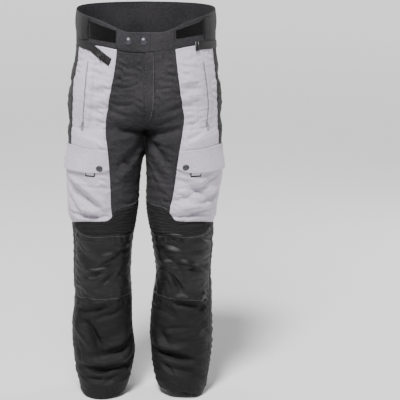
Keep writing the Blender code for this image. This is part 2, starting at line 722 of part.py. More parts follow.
def ribbon(name, finish, side, path, width, steps, gap, thick):
    """A strap that lies on the garment along a path of turns and heights."""
    turns, heights = [row.turn for row in path], [row.height for row in path]
    grid = []
    for k in range(steps + 1):
        place = (len(path) - 1) * k / steps
        turn = np.interp(place, range(len(path)), turns)
        height = np.interp(place, range(len(path)), heights)
        around = girth(side, height)
        run = np.array([(turns[-1] - turns[0]) * around, heights[-1] - heights[0]])
        run /= np.hypot(*run)
        row = []
        for share in (-0.5, 0.0, 0.5):
            row.append((side, turn - run[1] * share * width / around, height + run[0] * share * width))
        grid.append(row)
    outside, inside = laid(gap, thick)
    cloth_wall(name, finish, grid, outside, inside)


LOOP_WIDTH = 28.0
LOOP_RISE = (0.0, 2.2, 3.4, 3.4, 2.2, 0.0)
LOOP_CLOTH = 1.8
LOOP_LOW_INSET = 14.0       # from the waistband's lower seam
LOOP_HIGH_INSET = 7.0       # from its upper edge


def belt_loop(name, side, turn):
    """A belt loop: sewn down at its ends and standing off between them."""
    low, high = WAIST_SEAM(side, turn) + LOOP_LOW_INSET, WAIST_TOP(side, turn) - LOOP_HIGH_INSET
    half = LOOP_WIDTH / 2 / girth(side, low)
    count = len(LOOP_RISE) - 1
    grid = [[(side, turn + half * part, low + (high - low) * j / count) for part in (-1, 0, 1)]
            for j in range(count + 1)]
    cloth_wall(name, "webbing", grid, outside=lambda j, i: LAY_GAP + LOOP_RISE[j] + LOOP_CLOTH,
               inside=lambda j, i: LAY_GAP + LOOP_RISE[j])


INLAY_CLOTH = 1.2
INLAY_LOW = {RIGHT: [LineRow(0.14, 986), LineRow(0.32, 997)], LEFT: [LineRow(0.14, 996), LineRow(0.34, 1008)]}
INLAY_HIGH = {RIGHT: [LineRow(0.14, 1016), LineRow(0.32, 1043)], LEFT: [LineRow(0.14, 1016), LineRow(0.34, 1045)]}
INLAY_ENDS = {RIGHT: (0.146, 0.298), LEFT: (0.153, 0.308)}
FRONT_LOOP_TURN = {RIGHT: 0.330, LEFT: 0.342}
SIDE_LOOP_TURN = 0.575


def build_waist_trim(side):
    """Hook and loop inlay and belt loops on one side of the waistband."""
    tag = SIDE_NAME[side]
    start, end = INLAY_ENDS[side]
    outside, inside = laid(LAY_GAP, INLAY_CLOTH)
    grid = patch(side, (edge_at(start), 6, edge_at(end)), level(INLAY_LOW), level(INLAY_HIGH), even(2), gap=0.0)
    cloth_wall("hook_loop_" + tag, "hook_loop", grid, outside, inside)
    belt_loop("belt_loop_front_" + tag, side, FRONT_LOOP_TURN[side])
    belt_loop("belt_loop_side_" + tag, side, SIDE_LOOP_TURN)


STRAP_WIDTH = 20.0
STRAP_THICK = 1.6
STRAP_GAP = 1.0             # straps, welts and the fly stand this far off the facets under them
STRAP_PATH = {
    RIGHT: [LineRow(0.41, 983), LineRow(0.28, 972), LineRow(0.17, 936)],
    LEFT: [LineRow(0.47, 974), LineRow(0.262, 976)],
}
HARDWARE_OUT = STRAP_GAP + STRAP_THICK + LAY_GAP
SLIDE_PLACE = LineRow(0.222, 953)
SLIDE_TILT = 33.0
SLIDE_XS = (-7.0, -4.4, -1.4, 1.4, 4.4, 7.0)
SLIDE_YS = (-13.5, -10.8, 10.8, 13.5)
SLIDE_ZS = (0.0, 2.2)
RING_PLACE = LineRow(0.262, 976)
RING_XS = (-5.5, -2.7, 2.7, 5.5)
RING_YS = (-13.0, -10.2, 10.2, 13.0)
RING_ZS = (0.0, 2.4)


def build_adjusters():
    """Waist adjusters: a strap through a two-bar slide on the right, and on a ring on the left."""
    for side in (RIGHT, LEFT):
        ribbon("adjuster_strap_" + SIDE_NAME[side], "webbing", side, STRAP_PATH[side], STRAP_WIDTH, 8,
               STRAP_GAP, STRAP_THICK)
    block("strap_slide_r", "black_plastic", local_frame(RIGHT, *SLIDE_PLACE, HARDWARE_OUT, SLIDE_TILT),
          SLIDE_XS, SLIDE_YS, SLIDE_ZS, lambda i, j, k: i in (1, 3) and j == 1)
    block("strap_ring_l", "black_plastic", local_frame(LEFT, *RING_PLACE, HARDWARE_OUT),
          RING_XS, RING_YS, RING_ZS, lambda i, j, k: i == 1 and j == 1)


FLY_SEAM = [SeamRow(772, 6, 6), SeamRow(790, 16, 16), SeamRow(815, 22, 22), SeamRow(850, 24, 24),
            SeamRow(960, 24, 24)]
FLY_EDGE = edge_at(0.002)   # the free edge, just off the centre
FLY_LOW = 776.0
FLY_THICK = 1.4


def build_fly():
    """Fly facing on the wearer's left front, its free edge at the centre."""
    outside, inside = laid(STRAP_GAP, FLY_THICK)
    grid = patch(LEFT, (FLY_EDGE, 2, upright(FLY_SEAM, front_turn)), level(FLY_LOW), WAIST_SEAM, even(11))
    cloth_wall("fly_shield", "black_cloth", grid, outside, inside)


WELT_INNER = [SeamRow(764, 147, 143), SeamRow(918, 131, 133), SeamRow(940, 128, 131)]
WELT_OUTER = [SeamRow(764, 157, 155), SeamRow(800, 156, 159), SeamRow(824, 154, 160), SeamRow(890, 148, 153),
              SeamRow(940, 142, 145)]
WELT_LOW, WELT_HIGH = 765.0, 937.0
WELT_THICK = 1.5
ZIP_GAP = 1.0               # from the welt's edge to the zip tape
ZIP_WIDTH = 7.0
ZIP_THICK = 1.0
SLIDER_HEIGHT = 773.0
PULL_AXIS = 3.2             # pull's hinge above the slider's base
SLIDER_XS = (-3.8, -0.8, 0.8, 3.8)
SLIDER_YS = (-5.2, -3.2, -2.1, 2.1, 3.2, 5.2)
SLIDER_ZS = (0.0, 2.0, 4.5, 5.4)
PULL_XS = (-3.2, -1.6, 1.6, 3.2)
PULL_YS = (-16.0, -5.4, -0.7, 0.7)
PULL_ZS = (-0.6, 0.6)


def beside(rows, distance):
    """A seam's table moved outwards by a distance."""
    return [row._replace(right=row.right + distance, left=row.left + distance) for row in rows]


def slider_is_open(i, j, k):
    """The slider is a plate that carries an arch over its middle."""
    if k == 0:
        return False
    if k == 1:
        return i != 1 or j not in (1, 3)
    return i != 1 or j not in (1, 2, 3)


def build_hand_pocket(side):
    """Welt, zip tape, slider and pull tab of the hand pocket."""
    tag = SIDE_NAME[side]
    inner, outer = upright(WELT_INNER, front_turn), upright(WELT_OUTER, front_turn)
    low, high = level(WELT_LOW), level(WELT_HIGH)
    outside, inside = laid(STRAP_GAP, WELT_THICK)
    grid = patch(side, (inner, 2, outer), low, high, even(10))
    cloth_wall("pocket_welt_" + tag, "grey_cloth", grid, outside, inside)
    tape_in = upright(beside(WELT_OUTER, ZIP_GAP), front_turn)
    tape_out = upright(beside(WELT_OUTER, ZIP_GAP + ZIP_WIDTH), front_turn)
    outside, inside = laid(STRAP_GAP, ZIP_THICK)
    grid = patch(side, (tape_in, 1, tape_out), low, high, even(10))
    cloth_wall("pocket_zip_" + tag, "webbing", grid, outside, inside)
    turn = 0.5 * (tape_in(side, SLIDER_HEIGHT) + tape_out(side, SLIDER_HEIGHT))
    base = STRAP_GAP + ZIP_THICK + LAY_GAP
    block("zip_slider_" + tag, "dark_metal", local_frame(side, turn, SLIDER_HEIGHT, base),
          SLIDER_XS, SLIDER_YS, SLIDER_ZS, slider_is_open)
    block("zip_pull_" + tag, "dark_metal", local_frame(side, turn, SLIDER_HEIGHT, base + PULL_AXIS),
          PULL_XS, PULL_YS, PULL_ZS, lambda i, j, k: i == 1 and j == 1)


SNAP_PROFILE = ((8.0, 0.0), (8.2, 1.2), (6.4, 2.5), (3.2, 3.1))
WAIST_SNAPS = (("waist_snap_outer", RIGHT, 0.083, 991), ("waist_snap_inner", RIGHT, 0.006, 991))
FLAP_SNAPS = {RIGHT: (LineRow(0.268, 659), LineRow(0.53, 657)),
              LEFT: (LineRow(0.255, 662), LineRow(0.53, 657))}
SNAP_SEAT = 0.7             # a snap's flat base stands this far off the curved cloth


def build_snaps():
    """Domed snaps of the waist tab and the pocket flaps."""
    for name, side, turn, height in WAIST_SNAPS:
        turned(name, "dark_metal", local_frame(side, turn, height, LAY_GAP + CLOTH + SNAP_SEAT), SNAP_PROFILE)
    for side in (RIGHT, LEFT):
        for place, row in zip(("front", "side"), FLAP_SNAPS[side]):
            frame = local_frame(side, row.turn, row.height, FLAP_GAP + CLOTH + SNAP_SEAT)
            turned(f"flap_snap_{place}_{SIDE_NAME[side]}", "dark_metal", frame, SNAP_PROFILE)


REFLECTOR_FRONT = [SeamRow(240, -10, -10), SeamRow(340, -8, -8)]
REFLECTOR_BACK = [SeamRow(240, 8, 8), SeamRow(340, 10, 10)]
REFLECTOR_LOW, REFLECTOR_HIGH = 248.0, 326.0
REFLECTOR_THICK = 0.8


def build_reflector(side):
    """Plain upright reflective patch on the outer lower leg."""
    outside, inside = laid(LAY_GAP, REFLECTOR_THICK)
    stops = (upright(REFLECTOR_FRONT, side_turn), 2, upright(REFLECTOR_BACK, side_turn))
    cloth_wall("reflective_" + SIDE_NAME[side], "reflective_film",
               patch(side, stops, level(REFLECTOR_LOW), level(REFLECTOR_HIGH), even(6)), outside, inside)


def main():
    clear_scene()
    for side in (RIGHT, LEFT):
        build_front(side)
        build_back(side)
        build_thigh_pocket(side)
        build_lower_leg(side)
        build_waist_trim(side)
        build_hand_pocket(side)
        build_reflector(side)
    build_back_bands()
    build_waistband()
    build_adjusters()
    build_fly()
    build_snaps()


main()
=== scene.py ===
"""Looks of a pair of textile riding trousers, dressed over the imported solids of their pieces.

The trousers stand open and filled out, held at the waist. A place on the cloth is given by the leg,
the turn (0 at the centre front or inseam, 0.5 at the outer side, 1 at the centre back) and the
height above the hem in millimetres. +Z is up, the front faces -Y and the wearer's left is +X.
"""

import math
from collections import namedtuple

import bmesh
import bpy
import numpy as np
from mathutils import Matrix, Vector


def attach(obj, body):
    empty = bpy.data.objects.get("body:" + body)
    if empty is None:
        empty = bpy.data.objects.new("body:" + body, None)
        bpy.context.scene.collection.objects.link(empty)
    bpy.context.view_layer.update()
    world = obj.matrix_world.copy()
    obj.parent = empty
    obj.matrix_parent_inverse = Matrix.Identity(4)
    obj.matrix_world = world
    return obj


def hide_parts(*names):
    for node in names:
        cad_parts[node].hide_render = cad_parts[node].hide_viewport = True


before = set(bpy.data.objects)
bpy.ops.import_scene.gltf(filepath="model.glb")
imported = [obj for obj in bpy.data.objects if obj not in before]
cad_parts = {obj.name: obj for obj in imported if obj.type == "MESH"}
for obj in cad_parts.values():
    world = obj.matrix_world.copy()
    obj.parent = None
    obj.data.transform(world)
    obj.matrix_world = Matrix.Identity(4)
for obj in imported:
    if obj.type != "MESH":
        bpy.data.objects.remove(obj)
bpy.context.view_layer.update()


# Studio
# A pale floor that sweeps up far away, under soft lamps, as for a catalogue picture. The camera
# stands a little above the waist and looks slightly down; its shift puts the trousers left of
# the middle. Places and sizes here are in metres from the waist.
CAMERA_AWAY = 3.4
CAMERA_RISE = 0.28
CAMERA_PITCH = 12.5         # degrees down from level
CAMERA_LENS = 114.7
CAMERA_SHIFT = 0.1375


def linear(hex_colour):
    """An sRGB hex colour as linear red, green, blue and alpha."""
    channels = [int(hex_colour[k:k + 2], 16) / 255 for k in (0, 2, 4)]
    return [c / 12.92 if c <= 0.04045 else ((c + 0.055) / 1.055) ** 2.4 for c in channels] + [1.0]


def node(tree, kind, inputs=None, **settings):
    """Adds a node: settings are its own, and inputs are values or other nodes' outputs."""
    made = tree.nodes.new(kind)
    for name, value in settings.items():
        setattr(made, name, value)
    for name, value in (inputs or {}).items():
        if isinstance(value, bpy.types.NodeSocket):
            tree.links.new(value, made.inputs[name])
        else:
            made.inputs[name].default_value = value
    return made.outputs


camera = bpy.data.objects.new("camera", bpy.data.cameras.new("camera"))
bpy.context.scene.collection.objects.link(camera)
camera.data.lens = CAMERA_LENS
camera.data.shift_x = CAMERA_SHIFT
camera.location = (0, -CAMERA_AWAY, CAMERA_RISE)
camera.rotation_euler = (math.radians(90 - CAMERA_PITCH), 0, 0)
bpy.context.scene.camera = camera

Lamp = namedtuple("Lamp", "name place aim size power")
LAMPS = [
    Lamp("hip_box", (-0.2, -1.1, 1.0), (0, 0, -0.02), 0.5, 26),
    Lamp("fill_box", (2.4, -2.4, 0.7), (0, 0, -0.5), 1.4, 5),
    Lamp("rim_box_left", (-2.3, 1.5, 0.4), (0, 0, -0.5), 1.0, 22),
    Lamp("rim_box_right", (2.3, 1.5, 0.4), (0, 0, -0.5), 1.0, 30),
]
KEY_WAY = (-0.30, -0.80, 1.30)      # towards the large far lamp that lights the sweep evenly
KEY_POWER = 3.5
KEY_SPREAD = 12.0           # degrees across, which softens its shadow
SKY_STRENGTH = 0.12
for lamp in LAMPS:
    light = bpy.data.lights.new(lamp.name, "AREA")
    light.size = lamp.size
    light.energy = lamp.power
    holder = bpy.data.objects.new(lamp.name, light)
    holder.location = lamp.place
    way = Vector(lamp.aim) - Vector(lamp.place)
    holder.rotation_euler = way.to_track_quat("-Z", "Y").to_euler()
    bpy.context.scene.collection.objects.link(holder)
key = bpy.data.lights.new("key_lamp", "SUN")
key.energy = KEY_POWER
key.angle = math.radians(KEY_SPREAD)
key_holder = bpy.data.objects.new("key_lamp", key)
key_holder.rotation_euler = (-Vector(KEY_WAY)).to_track_quat("-Z", "Y").to_euler()
bpy.context.scene.collection.objects.link(key_holder)

sky = bpy.data.worlds.new("studio_light")
sky.use_nodes = True
sky.node_tree.nodes["Background"].inputs["Color"].default_value = linear("FFFFFF")
sky.node_tree.nodes["Background"].inputs["Strength"].default_value = SKY_STRENGTH
bpy.context.scene.world = sky

FLOOR_DROP = 1.0205         # from the waist down to the floor, just under the hem
SweepRow = namedtuple("SweepRow", "radius rise")
SWEEP = [SweepRow(7.0, 0.0), SweepRow(8.5, 0.15), SweepRow(10.0, 0.7), SweepRow(11.3, 1.7),
         SweepRow(12.2, 3.0), SweepRow(12.7, 4.5)]
SWEEP_STEPS = 96
floor_mesh = bpy.data.meshes.new("floor")
rounds = 2 * np.pi * np.arange(SWEEP_STEPS) / SWEEP_STEPS
sweep_points = [(row.radius * math.cos(a), row.radius * math.sin(a), row.rise - FLOOR_DROP)
                for row in SWEEP for a in rounds]
sweep_faces = [tuple(range(SWEEP_STEPS))]
for ring in range(len(SWEEP) - 1):
    for k in range(SWEEP_STEPS):
        here, beyond = ring * SWEEP_STEPS, (k + 1) % SWEEP_STEPS
        sweep_faces.append((here + k, here + SWEEP_STEPS + k, here + SWEEP_STEPS + beyond,
                            here + beyond))
floor_mesh.from_pydata(sweep_points, [], sweep_faces)
floor_mesh.shade_smooth()
# Matt white paint: even all over, with no gloss to mirror the lamps
painted_floor = bpy.data.materials.new("painted_floor")
painted_floor.use_nodes = True
paint = painted_floor.node_tree.nodes["Principled BSDF"].inputs
paint["Base Color"].default_value = linear("F4F4F4")
paint["Roughness"].default_value = 0.9
floor_mesh.materials.append(painted_floor)
floor = bpy.data.objects.new("floor", floor_mesh)
bpy.context.scene.collection.objects.link(floor)


# Centre front panels
# Two black panels of plain-woven polyamide run from the waistband over the fly to above the knee.
# They are cut to the garment's form and joined by flat seams; all other panels lie on the same form.
MM = 0.001
RIGHT, LEFT = -1, 1
TAG = {RIGHT: "r", LEFT: "l"}
WAIST_HEIGHT = 1020.0       # the frame's origin, above the hem
CROTCH_HEIGHT = 745.0
RISE_CURVE = 95.0           # height over which the centre seam curves under the crotch
CROTCH_DEPTH = 8.0          # how far behind the middle the crotch lies
CENTRE_GAP = 0.04           # sewn edges almost touch, so that no light shows between them
SEAM_GAP = 0.06
LEG_ROUNDNESS = 2.15        # 2 is an ellipse, more is squarer
HIP_ROUNDNESS = 2.3

LegRow = namedtuple("LegRow", "height inner outer front back")
HipRow = namedtuple("HipRow", "height right left front back")
SeamRow = namedtuple("SeamRow", "height right left")
LineRow = namedtuple("LineRow", "turn height")
DepthRow = namedtuple("DepthRow", "height depth")
CreaseRow = namedtuple("CreaseRow", "first last low high spacing")
Fold = namedtuple("Fold", "turn_a height_a turn_b height_b width depth bow", defaults=(0.0,))

LEG_ROWS = {
    RIGHT: [
        LegRow(0, 58, 178, -86, 74), LegRow(26, 47, 184, -82, 76), LegRow(75, 35, 195, -74, 78),
        LegRow(120, 28, 200, -69, 80), LegRow(190, 35, 204, -69, 79), LegRow(280, 36, 194, -77, 76),
        LegRow(350, 39, 197, -87, 76), LegRow(440, 33, 196, -98, 80), LegRow(530, 19, 203, -107, 90),
        LegRow(620, 12, 206, -115, 104), LegRow(690, 2, 207, -124, 122), LegRow(745, 0, 207, -130, 136),
        LegRow(840, 0, 206, -138, 152),
    ],
    LEFT: [
        LegRow(0, 48, 164, -86, 74), LegRow(26, 34, 172, -82, 76), LegRow(75, 22, 181, -74, 78),
        LegRow(120, 17, 186, -69, 80), LegRow(190, 14, 188, -69, 79), LegRow(280, 22, 184, -77, 76),
        LegRow(350, 30, 181, -87, 76), LegRow(440, 19, 187, -98, 80), LegRow(530, 4, 188, -107, 90),
        LegRow(620, 4, 202, -115, 104), LegRow(690, 1, 206, -124, 122), LegRow(745, 0, 207, -130, 136),
        LegRow(840, 0, 206, -138, 152),
    ],
}
HIP_ROWS = [
    HipRow(745, 207, 206, -130, 136), HipRow(810, 206, 206, -137, 148),
    HipRow(880, 200, 200, -140, 155), HipRow(920, 190, 194, -138, 150),
    HipRow(962, 184, 189, -134, 142), HipRow(1014, 183, 188, -130, 136),
    HipRow(1080, 182, 187, -127, 132),
]


def curve_through(rows, values):
    """A smooth curve through a table's rows, read at values of its first column."""
    table = np.array(rows, float)
    values = np.clip(values, table[0, 0], table[-1, 0])
    k = np.clip(np.searchsorted(table[:, 0], values) - 1, 0, len(table) - 2)
    before = np.maximum(np.arange(len(table)) - 1, 0)
    after = np.minimum(np.arange(len(table)) + 1, len(table) - 1)
    slope = (table[after] - table[before]) / (table[after, :1] - table[before, :1])
    step = (table[k + 1, 0] - table[k, 0])[..., None]
    f = (values - table[k, 0])[..., None] / step
    start = (2 * f**3 - 3 * f**2 + 1) * table[k] + (f**3 - 2 * f**2 + f) * step * slope[k]
    end = (3 * f**2 - 2 * f**3) * table[k + 1] + (f**3 - f**2) * step * slope[k + 1]
    return start + end


def soft_step(value):
    value = np.clip(value, 0.0, 1.0)
    return value * value * (3 - 2 * value)


HEIGHT_STEP = 2.5
CROTCH_STEPS = 24
crotch_heights = CROTCH_HEIGHT + RISE_CURVE * (1 - np.cos(np.linspace(0, math.pi / 2, CROTCH_STEPS)))
HEIGHTS = np.unique(np.concatenate([np.arange(-5, 1090, HEIGHT_STEP), crotch_heights]))
TURNS = np.linspace(0, 1, 501)
SHARES = np.linspace(0, 1, 161)


def rounded(values, roundness):
    return np.sign(values) * np.abs(values) ** (2.0 / roundness)


def outlines(side):
    """The half outline of the body at every height: depths, distances and the way along each."""
    inner, outer, front, back = curve_through(LEG_ROWS[side], HEIGHTS).T[1:, :, None]
    angle = 2 * math.pi * SHARES
    x = (inner + outer) / 2 - (outer - inner) / 2 * rounded(np.cos(angle), LEG_ROUNDNESS)
    y = (front + back) / 2 + (front - back) / 2 * rounded(np.sin(angle), LEG_ROUNDNESS)
    drop = 1 - np.clip((HEIGHTS - CROTCH_HEIGHT) / RISE_CURVE, 0, 1)
    joined = np.sqrt(1 - drop**2)[:, None]
    right, left, front, back = curve_through(HIP_ROWS, HEIGHTS).T[1:, :, None]
    wide = right if side == RIGHT else left
    cosine = rounded(np.cos(math.pi * SHARES), HIP_ROUNDNESS)
    hip_x = wide * rounded(np.sin(math.pi * SHARES), HIP_ROUNDNESS)
    reach = np.where(cosine > 0, front - CROTCH_DEPTH, CROTCH_DEPTH - back)
    x = x * (1 - joined) + hip_x * joined
    y = y * (1 - joined) + (CROTCH_DEPTH + reach * cosine) * joined
    x = np.maximum(x, CENTRE_GAP / 2)
    along = np.cumsum(np.hypot(np.diff(x, axis=1), np.diff(y, axis=1)), axis=1)
    return x, y, np.hstack([np.zeros((len(x), 1)), along])


CROTCH_SOFT = 9.0           # the cloth in front of and behind the crotch is blended over this height
CROTCH_REACH = 32.0
INSEAM_FIRM = 12.0          # but not this close to the inseam, nor fully for this much further
INSEAM_FADE = 30.0
outline = {side: outlines(side) for side in (RIGHT, LEFT)}
blend = np.exp(-0.5 * ((HEIGHTS[:, None] - HEIGHTS) / CROTCH_SOFT) ** 2) * np.gradient(HEIGHTS)
blend /= blend.sum(1, keepdims=True)
near_crotch = np.exp(-((HEIGHTS - CROTCH_HEIGHT) / CROTCH_REACH) ** 2)[:, None]
form = {}
for side in (RIGHT, LEFT):
    x, y, along = outline[side]
    at = np.empty((len(HEIGHTS), len(TURNS), 3))
    for k, height in enumerate(HEIGHTS):
        place = TURNS * along[k, -1]
        at[k, :, 0] = side * np.interp(place, along[k], x[k])
        at[k, :, 1] = np.interp(place, along[k], y[k])
        at[k, :, 2] = height
    inseam = np.minimum(TURNS, 1 - TURNS) * along[:, -1:]
    share = (near_crotch * soft_step((inseam - INSEAM_FIRM) / INSEAM_FADE))[..., None]
    soft = np.tensordot(blend, at[..., :2], axes=1)
    at[..., :2] = at[..., :2] * (1 - share) + soft * share
    normal = np.cross(np.gradient(at, TURNS, axis=1), np.gradient(at, HEIGHTS, axis=0)) * side
    normal /= np.linalg.norm(normal, axis=2, keepdims=True)
    share = near_crotch[..., None]
    normal = normal * (1 - share) + np.tensordot(blend, normal, axes=1) * share
    normal /= np.linalg.norm(normal, axis=2, keepdims=True)
    form[side] = (at, normal, along[:, -1])


def around(side, height):
    """Girth of one leg's half of the body, in millimetres."""
    return np.interp(height, HEIGHTS, form[side][2])


def read_form(side, turn, height):
    """Point and outward direction on the body, between its nearest outlines."""
    turn, height = np.broadcast_arrays(np.asarray(turn, float), np.asarray(height, float))
    k = np.clip(np.searchsorted(HEIGHTS, height) - 1, 0, len(HEIGHTS) - 2)
    up = np.clip((height - HEIGHTS[k]) / (HEIGHTS[k + 1] - HEIGHTS[k]), 0, 1)[..., None]
    where = np.clip(turn, 0, 1) * (len(TURNS) - 1)
    i = np.clip(where.astype(int), 0, len(TURNS) - 2)
    over = (where - i)[..., None]
    found = []
    for field in form[side][:2]:
        low = field[k, i] * (1 - over) + field[k, i + 1] * over
        high = field[k + 1, i] * (1 - over) + field[k + 1, i + 1] * over
        found.append(low * (1 - up) + high * up)
    found[1] /= np.linalg.norm(found[1], axis=-1, keepdims=True)
    return found


def upright(rows, kind):
    """An upright seam, from distances on the front or back or depths on the side, as turns."""
    turns = {}
    for side in (RIGHT, LEFT):
        x, y = side * form[side][0][..., 0], form[side][0][..., 1]
        given = curve_through(rows, HEIGHTS)[:, 1 if side == RIGHT else 2]
        found = []
        for k, place in enumerate(given):
            if kind == "side":
                first, last = np.argmin(y[k]), np.argmax(y[k]) + 1
                found.append(np.interp(place, y[k, first:last], TURNS[first:last]))
            elif kind == "front":
                last = np.argmax(x[k]) + 1
                found.append(np.interp(place, x[k, :last], TURNS[:last]))
            else:
                first = np.argmax(x[k])
                found.append(np.interp(-place, -x[k, first:], TURNS[first:]))
        turns[side] = np.array(found)
    return lambda side, height: np.interp(height, HEIGHTS, turns[side])


def level(rows):
    """A level seam as heights: one height, one table, or a table for each side."""
    if isinstance(rows, (int, float)):
        return lambda side, turn: np.full(np.shape(turn), float(rows))
    tables = rows if isinstance(rows, dict) else {RIGHT: rows, LEFT: rows}
    lines = {side: curve_through(tables[side], TURNS)[:, 1] for side in (RIGHT, LEFT)}
    return lambda side, turn: np.interp(turn, TURNS, lines[side])


def edge_at(turn):
    return lambda side, height: np.full(np.shape(height), float(turn))


FRONT_EDGE = edge_at(0.0)
BACK_EDGE = edge_at(1.0)
INNER_GREY = upright([SeamRow(500, 84, 64), SeamRow(550, 90, 67), SeamRow(586, 91, 75),
                      SeamRow(640, 93, 82), SeamRow(710, 98, 91), SeamRow(752, 103, 98),
                      SeamRow(792, 101, 102), SeamRow(854, 91, 93), SeamRow(920, 78, 84),
                      SeamRow(985, 71, 77)], "front")
THIGH = level([LineRow(0, 552), LineRow(0.1, 546), LineRow(0.17, 543), LineRow(0.195, 535),
               LineRow(0.222, 515), LineRow(0.26, 511), LineRow(0.33, 508), LineRow(0.42, 498),
               LineRow(0.5, 488), LineRow(0.65, 478), LineRow(0.8, 486), LineRow(1, 494)])
WAIST_SEAM = level([LineRow(0, 962), LineRow(0.07, 964), LineRow(0.14, 969), LineRow(0.23, 976),
                    LineRow(0.32, 977), LineRow(0.42, 975), LineRow(0.5, 977), LineRow(0.6, 986),
                    LineRow(0.7, 996), LineRow(0.85, 1004), LineRow(1, 1006)])

